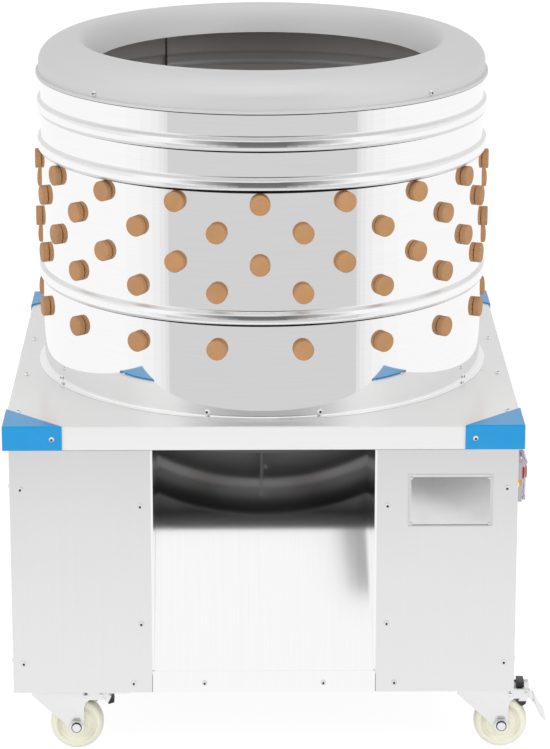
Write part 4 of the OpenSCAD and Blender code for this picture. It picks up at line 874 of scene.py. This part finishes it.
class PLUCKER_OT_screws(PieceOperator, bpy.types.Operator):
    """Turn the domed socket screws, and set them wherever the cabinet, tray and ring are screwed"""

    bl_idname = "plucker.screws"
    bl_label = "Screws and rivets"

    HEAD_HEIGHT = 0.0026
    # A button head with a six-sided socket and its shank, seat at zero
    SCREW = (
        (0, 0.0006), (0.0019, 0.0006), (0.0019, 0.00245), (0.0022, 0.00255), (0.0026, 0.0022),
        (0.0035, 0.0014), (0.0041, 0.0006), (0.0042, 0.0001), (0.0039, 0.0), (0.0020, 0.0),
        (0.0020, -0.0060), (0.0015, -0.0065), (0, -0.0065))
    # The socket's points on that outline
    SOCKET_POINTS = (1, 2)
    # A black disc as the bottom of a screw's socket, painted shade in the recess
    SOCKET_SHADE = ((0, 0.0021), (0.0017, 0.0021), (0.0018, 0.0016), (0, 0.0016))
    # A small rivet with a rounded head, seat at zero
    RIVET = (
        (0, 0.0012), (0.0010, 0.0011), (0.0018, 0.0008), (0.0024, 0.0003), (0.0026, 0.0),
        (0.0017, 0.0), (0.0017, -0.0040), (0, -0.0040))
    # Seat of the screws on the drum and on the ring, from the drum's radius
    RADIAL = {"tray_screws": 0.00005, "ring_screws": 0.00205}
    # Screws above the tray by this much and within this radius are on the drum or ring
    ABOVE_TRAY, ON_DRUM = 0.004, 0.34

    def seat(self, node, low, high, radius):
        """Place and direction of a screw, from its box in the CAD."""
        middle = (low + high) / 2
        reach = Vector((middle.x, middle.y, 0))
        if middle.z > TRAY_TOP + self.ABOVE_TRAY and reach.length < self.ON_DRUM:
            way = reach.normalized()
            return way * (radius + self.RADIAL[node]) + Vector((0, 0, middle.z)), way
        if high.z > TRAY_TOP:
            return Vector((middle.x, middle.y, high.z - self.HEAD_HEIGHT)), Vector((0, 0, 1))
        tray_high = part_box("top_tray")[1]
        axis = 0 if abs(middle.x) / tray_high.x > abs(middle.y) / tray_high.y else 1
        way = Vector((0, 0, 0))
        way[axis] = copysign(1, middle[axis])
        middle[axis] = high[axis] if middle[axis] > 0 else low[axis]
        return middle - way * self.HEAD_HEIGHT, way

    def execute(self, context):
        radius = self.sizes(context).drum_radius
        tree = points_tree()
        screw = turned("domed_screw", self.SCREW, 24, 38, "zinc", self.SOCKET_POINTS)
        # Painted shade: a black disc sits in each screw's socket
        socket = turned("socket", self.SOCKET_SHADE, 16, 38, "black")
        for node, name in (("panel_screws", "panel_screw"), ("tray_screws", "tray_screw"),
                           ("ring_screws", "ring_screw")):
            places = [self.seat(node, low, high, radius) for low, high in islands(node)]
            stand_in(on_points(tree, name + "_heads", screw, "zinc", places), node)
            sockets = on_points(tree, name + "_sockets", socket, "black", places)
            dress(sockets, BODY_OF[node], SLOT_OF[node])
        rivet = turned("domed_rivet", self.RIVET, 20, 38, "label")
        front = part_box("rating_plate")[0].y
        places = [(Vector(((low.x + high.x) / 2, front, (low.z + high.z) / 2)), Vector((0, -1, 0)))
                  for low, high in islands("rating_plate_rivets")]
        heads = on_points(tree, "plate_rivet_heads", rivet, "label", places)
        stand_in(heads, "rating_plate_rivets")
        for piece in (screw, socket, rivet):
            bpy.data.objects.remove(piece)
        return {"FINISHED"}


class PLUCKER_OT_cabinet(PieceOperator, bpy.types.Operator):
    """Ease the edges of the cabinet sheets, the tray, the chute and the painted corner plates"""

    bl_idname = "plucker.cabinet"
    bl_label = "Cabinet, tray and chute"

    PANELS = (
        "front_left_panel", "front_right_panel", "left_side_panel", "right_side_panel",
        "rear_panel")
    CHUTE = ("chute_floor", "chute_left_wall", "chute_right_wall")
    HIDDEN = ("base_pan", "corner_posts", "feather_pan")
    # Rounding of the tray's and the corner plates' folds
    TRAY_FOLD, PLATE_FOLD = 0.002, 0.0018
    # The rating plate: corner radius, edge ease, and inset and width of its border line
    CORNER, EDGE, INSET, GROOVE = 0.002, 0.0002, 0.0035, 0.0006

    def execute(self, context):
        ease = self.sizes(context).edge_ease
        for node in self.PANELS:
            eased(node, node + "_sheet", "panel", ease)
        tray = eased("top_tray", "tray_sheet", "tray", ease,
                     folds=outer_folds(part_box("top_tray")[1]), fold_ease=self.TRAY_FOLD)
        # Painted shade: the tray's underside gets the near-black steel
        refinish(tray, "inside", looks_down)
        eased("corner_protectors", "corner_plates", "blue", ease,
              folds=outer_folds(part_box("corner_protectors")[1]), fold_ease=self.PLATE_FOLD)
        for node in self.CHUTE:
            eased(node, node + "_sheet", "chute", ease)
        self.rating_plate()
        for node in self.HIDDEN:
            coat(node, "inside")
        return {"FINISHED"}

    def rating_plate(self):
        """A bare plate with a pressed border line."""
        low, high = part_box("rating_plate")
        middle = (low + high) / 2
        corner, edge, inset, groove = self.CORNER, self.EDGE, self.INSET, self.GROOVE

        def outline(shrink):
            path = []
            for x, z, start in ((high.x, high.z, 0), (low.x, high.z, 90), (low.x, low.z, 180),
                                (high.x, low.z, 270)):
                mid_x = x - copysign(shrink + corner, x - middle.x)
                mid_z = z - copysign(shrink + corner, z - middle.z)
                for step in range(6):
                    angle = radians(start + 18 * step)
                    path.append(
                        (mid_x + corner * cos(angle), mid_z + corner * sin(angle)))
            return path

        levels = ((0, high.y), (0, low.y + edge), (edge, low.y), (inset, low.y),
                  (inset + groove / 2, low.y + edge), (inset + groove, low.y))
        rings = [[(x, y, z) for x, z in outline(shrink)] for shrink, y in levels]
        mesh = mesh_from("bare_rating_plate", lofted(rings))
        stand_in(new_object("bare_rating_plate", mesh, "label"), "rating_plate")


class PLUCKER_OT_casters(PieceOperator, bpy.types.Operator):
    """Turn the nylon wheels, ease the pressed forks, and add the axle rings and fork rivets"""

    bl_idname = "plucker.casters"
    bl_label = "Casters and brakes"

    CORNERS = ("front_left", "front_right", "rear_left", "rear_right")
    # Half of a wheel's outline: crowned tread, dished side, moulding rings and a long hub
    WHEEL_HALF = (
        (0.00605, 0.0155), (0.0146, 0.0155), (0.0150, 0.0150), (0.0156, 0.0116), (0.0170, 0.0110),
        (0.0212, 0.0110), (0.0216, 0.0106), (0.0220, 0.0110), (0.0262, 0.0110), (0.0270, 0.0114),
        (0.0276, 0.0136), (0.0284, 0.0140), (0.0310, 0.0140), (0.0335, 0.0134), (0.0353, 0.0120),
        (0.0364, 0.0100), (0.0371, 0.0070), (0.0374, 0.0030))
    WHEEL_RADIUS = 0.0375
    RIVET = (
        (0, 0.0026), (0.0016, 0.0024), (0.0030, 0.0018), (0.0040, 0.0009), (0.0044, 0.0),
        (0.0025, -0.0005), (0, -0.0005))
    LOCK = (
        (0.0061, 0.0), (0.0073, 0.0), (0.0074, 0.0006), (0.0073, 0.0022), (0.0069, 0.0026),
        (0.0063, 0.0026))
    # The axle's rings and the cheeks' outer faces, from the wheel's middle
    LOCK_OUT, CHEEK_OUT = 0.0251, 0.01905
    # The fork's rivets from the axle: the upper one, and the brake pin's place without a brake
    RIVETS = ((0.0128, 0, 0.0455), (0.0353, 0, 0.0455))
    # Ease of the edges of the pressings, and the shortest edge that is eased
    FORK_EASE, FORK_SHORTEST = 0.0004, 0.004
    PEDAL_EASE, PEDAL_SHORTEST = 0.0005, 0.003
    # Brake pedals: joint, and which end of its range is level
    PEDALS = {"left": ("left_brake_press", 1), "right": ("right_brake_release", 0)}
    # From a pedal's pin: top of the pad on the shoe, and how far forward the pad reaches
    PAD_TOP, PAD_END = -0.0145, 0.0042
    # From a pedal's pin: the stop block's two ends and its underside
    STOP_START, STOP_END, STOP_LOW = -0.0132, -0.0028, 0.0008

    def wheel(self, name, place):
        """A wheel about Y."""
        mirrored = [(radius, -height) for radius, height in reversed(self.WHEEL_HALF)]
        bm = lathed([*self.WHEEL_HALF, (self.WHEEL_RADIUS, 0.0), *mirrored], 72)
        turn = Matrix.Translation(place) @ Matrix.Rotation(pi / 2, 4, "X")
        bmesh.ops.transform(bm, matrix=turn, verts=bm.verts)
        return new_object(name, mesh_from(name, bm, 50), "nylon")

    def pedal(self, side):
        """A brake pedal with its black stop block and pad."""
        pedal = eased(side + "_brake_pedal", side + "_pedal_pressing", "fork", self.PEDAL_EASE,
                      shortest=self.PEDAL_SHORTEST, smooth_angle=30)
        name, end = self.PEDALS[side]
        joint = joint_named(name)
        pin = Vector(joint["pos_m"])
        level = Matrix.Rotation(radians(joint["range_deg"][1] if end else 0), 3, "Y")
        back = level.transposed()
        cut(pedal, pin + back @ Vector((0, 0, self.PAD_TOP)), back @ Vector((0, 0, 1)))

        def rubber(face):
            """The stop block above the pin and the pad at the end of the shoe below it."""
            place = level @ (face.center - pin)
            on_stop = self.STOP_START < place.x < self.STOP_END and place.z > self.STOP_LOW
            return on_stop or (place.x < self.PAD_END and place.z < self.PAD_TOP)

        refinish(pedal, "black", rubber)

    def execute(self, context):
        tree = points_tree()
        rivet = turned("brake_rivet", self.RIVET, 24, 40, "zinc")
        lock = new_object("axle_lock", mesh_from("axle_lock", lathed(self.LOCK, 32), 40), "black")
        for corner in self.CORNERS:
            axle = Vector(joint_named(corner + "_wheel_roll")["pos_m"])
            stand_in(self.wheel(corner + "_tyre", axle), corner + "_wheel")
            eased(corner + "_fork", corner + "_fork_pressing", "fork", self.FORK_EASE,
                  shortest=self.FORK_SHORTEST, smooth_angle=30)
            rivets = self.RIVETS if corner.startswith("rear") else self.RIVETS[:1]
            for piece, name, finish, offsets, out in (
                    (lock, "_axle_locks", "black", ((0, 0, 0),), self.LOCK_OUT),
                    (rivet, "_fork_rivets", "zinc", rivets, self.CHEEK_OUT)):
                places = [(axle + Vector(offset) + Vector((0, side * out, 0)), Vector((0, side, 0)))
                          for offset in offsets for side in (-1, 1)]
                dress(on_points(tree, corner + name, piece, finish, places),
                      corner + "_swivel", "zinc_steel")
        for side in self.PEDALS:
            self.pedal(side)
        bpy.data.objects.remove(rivet)
        bpy.data.objects.remove(lock)
        coat("caster_plates", "fork")
        coat("caster_bolts", "zinc")
        return {"FINISHED"}


class PLUCKER_OT_switch(PieceOperator, bpy.types.Operator):
    """Ease the mouldings of the switch and finish the cord's gland"""

    bl_idname = "plucker.switch"
    bl_label = "Switch and gland"

    # Node, name, finish and ease of each moulding; the buttons' edges aren't eased
    MOULDINGS = (
        ("switch_housing", "switch_box", "housing", 0.0012),
        ("switch_flap", "switch_cover", "clear", 0.0006),
        ("stop_button", "stop_cap", "red", 0),
        ("start_button", "start_cap", "green", 0),
        ("cable_gland", "cord_gland", "black", 0.0005))

    def execute(self, context):
        for node, name, finish, ease in self.MOULDINGS:
            if ease:
                eased(node, name, finish, ease, shortest=0.003, smooth_angle=35)
            else:
                stand_in(new_object(name, mesh_from(name, merged_copy(node), 30), finish), node)
        return {"FINISHED"}


class PLUCKER_OT_works(PieceOperator, bpy.types.Operator):
    """Finish the turning plate, its hub and sweepers, and the drive inside the cabinet"""

    bl_idname = "plucker.works"
    bl_label = "Turning plate and drive"

    # Nodes that keep their CAD shape, by finish
    INNER = {
        "chute": ("turning_plate",),
        "iron": ("plate_hub", "driven_pulley", "bearing_housing", "motor_pulley"),
        "zinc": ("hub_bolts", "frame_bolts"),
        "inside": ("feather_sweepers",),
        "ground": ("main_shaft", "shaft_bearings", "motor_shaft"),
        "frame": ("cross_rails", "bearing_plate", "motor_stand"),
        "rubber": ("shaft_seal", "drive_belt"),
        "motor": ("motor_body", "motor_fan_cowl"),
        "black": ("capacitor_box", "motor_fan"),
    }

    def execute(self, context):
        for finish, nodes in self.INNER.items():
            for node in nodes:
                coat(node, finish)
        # Painted shade: the plate's underside gets the near-black steel
        refinish(frame["nodes"]["turning_plate"], "inside", looks_down)
        return {"FINISHED"}


# Stage


def mixed_shader(tree, share, first, second):
    """Two shaders mixed by a share."""
    return add_node(
        tree, "ShaderNodeMixShader", {0: share, 1: first, 2: second}).outputs[0]


def is_mirrored(tree, path):
    """One for rays that gloss or clear plastic sends on."""
    return maths(tree, "MAXIMUM", path["Is Glossy Ray"], path["Is Transmission Ray"])


class PLUCKER_OT_stage(PieceOperator, bpy.types.Operator):
    """Lay the pale floor, hang the softboxes and set the camera at the photograph's angle"""

    bl_idname = "plucker.stage"
    bl_label = "Stage"

    # Camera place and aim fitted to the photograph: metres, degrees and pixels
    EYE = (-0.0277, -4.4853, 1.686)
    PITCH, YAW = 15.12, 0.597
    FOCAL_PX, MIDDLE_Y_PX, IMAGE_H_PX = 3165.5, 300.0, 749
    SENSOR_MM = 36.0
    CLIP_END = 200.0
    # Half width of the floor, and how far it lies below the wheels
    FLOOR_REACH, FLOOR_DROP = 30.0, 0.0004
    # Grey of the floor, and share and strength of the glow that the camera sees on it
    FLOOR_GREY, GLOW_SHARE, GLOW = 0.88, 0.72, 1.28
    # Level of the studio that gloss sees: straight ahead and at the sides
    AHEAD_GREY, SIDE_GREY = 0.16, 0.88
    # How nearly straight ahead a ray goes where the studio dims, and where the sides end
    DIM_AHEAD, SIDE_END = (0.68, 0.98), (0.30, 0.50)
    # Height of a ray's direction where the dimness ends, and where the bright ceiling starts
    DIM_END, CEILING = (0.36, 0.66), (0.40, 0.60)
    # Edge angle on the drum and level of each grey field on the floor, near and far end
    FIELDS = (
        (23.8, 0.68), (24.8, 0.80), (26.2, 0.86), (28.2, 0.91), (31.5, 0.95), (36.0, 0.98))
    FIELD_NEAR, FIELD_FAR, FIELD_STEPS = 1.55, 9.0, 8
    # Half angle and level of each grey field behind the camera, which the beads show as streaks
    FAR_FIELDS = (
        (12.0, 0.20), (17.0, 0.34), (22.0, 0.48), (27.0, 0.62), (33.0, 0.75), (40.0, 0.87),
        (47.0, 0.94))
    FAR_NEAR, FAR_FAR = 5.6, 29.0
    # Height of the first field of each kind above the floor, and the step down to the next
    FIELD_LIFT, FAR_LIFT, LIFT_STEP = 0.004, 0.010, 0.0006
    # A card beside the chute, which its floor shows as a dark wedge
    CHUTE_CARD = (
        (0.132, -1.05, 1.45), (0.164, -1.05, 1.05), (0.55, -1.05, 1.05), (0.55, -1.05, 1.45))
    CHUTE_CARD_GREY = 0.36
    # Place, target, width, height and power of each softbox
    SOFTBOXES = {
        "left_softbox": ((-2.6, -1.9, 1.6), (0, 0, 0.45), 1.8, 2.4, "side_light"),
        "right_softbox": ((2.6, -1.9, 1.6), (0, 0, 0.45), 1.8, 2.4, "side_light"),
        "low_softbox": ((0, -2.4, 0.25), (0, 0, 0.15), 2.2, 0.5, "low_light"),
        "top_softbox": ((0, -0.6, 3.4), (0, 0, 0.4), 2.6, 2.6, "top_light"),
    }

    def bare_material(self, name):
        """A material with only its output, which no light sampling uses as a lamp."""
        material = bpy.data.materials.new(name)
        material.use_nodes = True
        material.cycles.emission_sampling = "NONE"
        tree = material.node_tree
        tree.nodes.clear()
        return material, tree, add_node(tree, "ShaderNodeOutputMaterial")

    def flat_piece(self, name, corners, material):
        """A flat staged face."""
        mesh = bpy.data.meshes.new(name)
        mesh.from_pydata(corners, [], [range(len(corners))])
        mesh.materials.append(material)
        obj = new_object(name, mesh)
        return obj

    def floor(self):
        """A wide white floor that keeps a soft shadow, and is plain white to gloss."""
        material, tree, out = self.bare_material("pale floor")
        path = add_node(tree, "ShaderNodeLightPath").outputs
        surface = add_node(
            tree, "ShaderNodeBsdfDiffuse", {"Color": (*grey(self.FLOOR_GREY), 1)}).outputs[0]
        seen = maths(tree, "MULTIPLY", path["Is Camera Ray"], self.GLOW_SHARE)
        for share, strength in ((seen, self.GLOW), (is_mirrored(tree, path), 1.0)):
            glow = add_node(tree, "ShaderNodeEmission", {"Strength": strength})
            surface = mixed_shader(tree, share, surface, glow.outputs[0])
        tree.links.new(surface, out.inputs["Surface"])
        reach, level = self.FLOOR_REACH, FLOOR_Z - self.FLOOR_DROP
        self.flat_piece("pale_floor", [
            (-reach, -reach, level), (reach, -reach, level), (reach, reach, level),
            (-reach, reach, level)], material)

    def grey_card(self, name, corners, shade):
        """A flat grey card that only gloss can see."""
        material, tree, out = self.bare_material(name)
        glow = add_node(tree, "ShaderNodeEmission", {"Color": (*grey(shade), 1)})
        tree.links.new(glow.outputs[0], out.inputs["Surface"])
        obj = self.flat_piece(name, corners, material)
        for ray in ("camera", "diffuse", "shadow", "transmission"):
            setattr(obj, "visible_" + ray, False)

    def grey_field(self, radius, edge):
        """Outline of a field in front, which the drum shows as a band up to the edge angle."""
        turn = radians(edge)
        start = Vector((radius * sin(turn), -radius * cos(turn)))
        seen = atan2(start.x, -self.EYE[1] + start.y)
        way = Vector((sin(2 * turn + seen), -cos(2 * turn + seen)))
        close, far = start + way * self.FIELD_NEAR, start + way * self.FIELD_FAR
        steps = self.FIELD_STEPS
        turns = [atan2(close.x, -close.y) * step / steps for step in range(-steps, steps + 1)]
        arc = [(close.length * sin(turn), -close.length * cos(turn)) for turn in turns]
        return arc + [(far.x, far.y), (-far.x, far.y)]

    def far_field(self, turn):
        """Outline of a field behind the camera, within an angle to each side."""
        slope, near, far = tan(radians(turn)), self.FAR_NEAR, self.FAR_FAR
        return [(-slope * near, -near), (slope * near, -near), (slope * far, -far),
                (-slope * far, -far)]

    def softbox(self, name, place, target, width, height, power):
        """A square light that faces a point."""
        lamp = bpy.data.lights.new(name, "AREA")
        lamp.shape = "RECTANGLE"
        lamp.size, lamp.size_y = width, height
        lamp.energy = power
        obj = bpy.data.objects.new(name, lamp)
        obj.location = place
        aim = Vector(target) - Vector(place)
        obj.rotation_euler = aim.to_track_quat("-Z", "Y").to_euler()
        obj.visible_glossy = False
        bpy.context.scene.collection.objects.link(obj)

    def room(self, strength):
        """Even room light, white to the camera, and for gloss dark ahead and grey at the sides."""
        world = bpy.data.worlds.new("pale room")
        bpy.context.scene.world = world
        world.use_nodes = True
        world.cycles.sampling_method = "NONE"
        tree = world.node_tree
        tree.nodes.clear()
        path = add_node(tree, "ShaderNodeLightPath").outputs
        way = add_node(tree, "ShaderNodeTexCoord").outputs["Generated"]
        axes = add_node(tree, "ShaderNodeSeparateXYZ", {0: way}).outputs

        def background(level):
            return add_node(tree, "ShaderNodeBackground", {
                "Color": (1, 1, 1, 1), "Strength": level}).outputs[0]

        # Height of a ray's direction, and how nearly it goes straight ahead, seen from above
        up = axes["Z"]
        level = maths(tree, "SQRT", maths(tree, "SUBTRACT", 1.0, maths(tree, "MULTIPLY", up, up)))
        ahead = maths(tree, "DIVIDE", maths(tree, "MULTIPLY", axes["Y"], -1.0), level)
        shade = maths(tree, "MULTIPLY", ranged(tree, ahead, *self.DIM_AHEAD),
                      ranged(tree, up, *self.DIM_END, 1.0, 0.0))
        bright = maths(tree, "MAXIMUM", ranged(tree, ahead, *self.SIDE_END, self.SIDE_GREY, 1.0),
                       ranged(tree, up, *self.CEILING))
        dimmed = ranged(tree, shade, 0.0, 1.0, 1.0, self.AHEAD_GREY)
        studio = background(maths(tree, "MULTIPLY", bright, dimmed))
        around = mixed_shader(tree, is_mirrored(tree, path), background(strength), studio)
        whole = mixed_shader(tree, path["Is Camera Ray"], around, background(1.0))
        add_node(tree, "ShaderNodeOutputWorld", {"Surface": whole})

    def camera(self):
        """The camera at the photograph's angle."""
        data = bpy.data.cameras.new("photo camera")
        data.sensor_width = self.SENSOR_MM
        data.lens = self.FOCAL_PX * self.SENSOR_MM / self.IMAGE_H_PX
        data.shift_y = (self.MIDDLE_Y_PX - self.IMAGE_H_PX / 2) / self.IMAGE_H_PX
        data.clip_end = self.CLIP_END
        obj = bpy.data.objects.new("photo camera", data)
        obj.location = self.EYE
        obj.rotation_euler = (radians(90 - self.PITCH), 0, -radians(self.YAW))
        bpy.context.scene.collection.objects.link(obj)
        bpy.context.scene.camera = obj

    def execute(self, context):
        stage = context.scene.plucker_stage
        context.scene.view_settings.view_transform = "Standard"
        self.floor()
        radius = self.sizes(context).drum_radius
        near = [(self.grey_field(radius, edge), shade) for edge, shade in self.FIELDS]
        far = [(self.far_field(turn), shade) for turn, shade in self.FAR_FIELDS]
        for kind, lift, fields in (
                ("grey_field", self.FIELD_LIFT, near), ("far_field", self.FAR_LIFT, far)):
            for index, (outline, shade) in enumerate(fields):
                level = FLOOR_Z + lift - self.LIFT_STEP * index
                corners = [(x, y, level) for x, y in outline]
                self.grey_card("%s_%d" % (kind, index), corners, shade)
        self.grey_card("chute_side_card", self.CHUTE_CARD, self.CHUTE_CARD_GREY)
        self.room(stage.room)
        for name, (*box, power) in self.SOFTBOXES.items():
            self.softbox(name, *box, getattr(stage, power))
        self.camera()
        return {"FINISHED"}


class PLUCKER_PT_sidebar(bpy.types.Panel):
    """Sizes, colours and steps of the plucker"""

    bl_idname = "PLUCKER_PT_sidebar"
    bl_label = "Poultry plucker"
    bl_space_type = "VIEW_3D"
    bl_region_type = "UI"
    bl_category = "Plucker"

    def draw(self, context):
        for name, _ in GROUPS:
            group = getattr(context.scene, name)
            box = self.layout.box()
            for label in group.__annotations__:
                box.prop(group, label)
        for operator in OPERATORS:
            self.layout.operator(operator.bl_idname)


OPERATORS = (
    PLUCKER_OT_stage, PLUCKER_OT_cabinet, PLUCKER_OT_drum, PLUCKER_OT_fingers, PLUCKER_OT_screws,
    PLUCKER_OT_casters, PLUCKER_OT_switch, PLUCKER_OT_works)
GROUPS = (
    ("plucker_sizes", PluckerSizes), ("plucker_colours", PluckerColours),
    ("plucker_stage", PluckerStage))
CLASSES = (*(group for _, group in GROUPS), *OPERATORS, PLUCKER_PT_sidebar)


def register():
    for cls in CLASSES:
        bpy.utils.register_class(cls)
    for name, group in GROUPS:
        setattr(bpy.types.Scene, name, PointerProperty(type=group))


def unregister():
    for name, _ in GROUPS:
        delattr(bpy.types.Scene, name)
    for cls in reversed(CLASSES):
        bpy.utils.unregister_class(cls)


def main():
    register()
    make_finishes(bpy.context.scene.plucker_colours, bpy.context.scene.plucker_sizes)
    bpy.ops.plucker.stage()
    bpy.ops.plucker.cabinet()
    bpy.ops.plucker.drum()
    bpy.ops.plucker.fingers()
    bpy.ops.plucker.screws()
    bpy.ops.plucker.casters()
    bpy.ops.plucker.switch()
    bpy.ops.plucker.works()


if __name__ == "__main__":
    main()
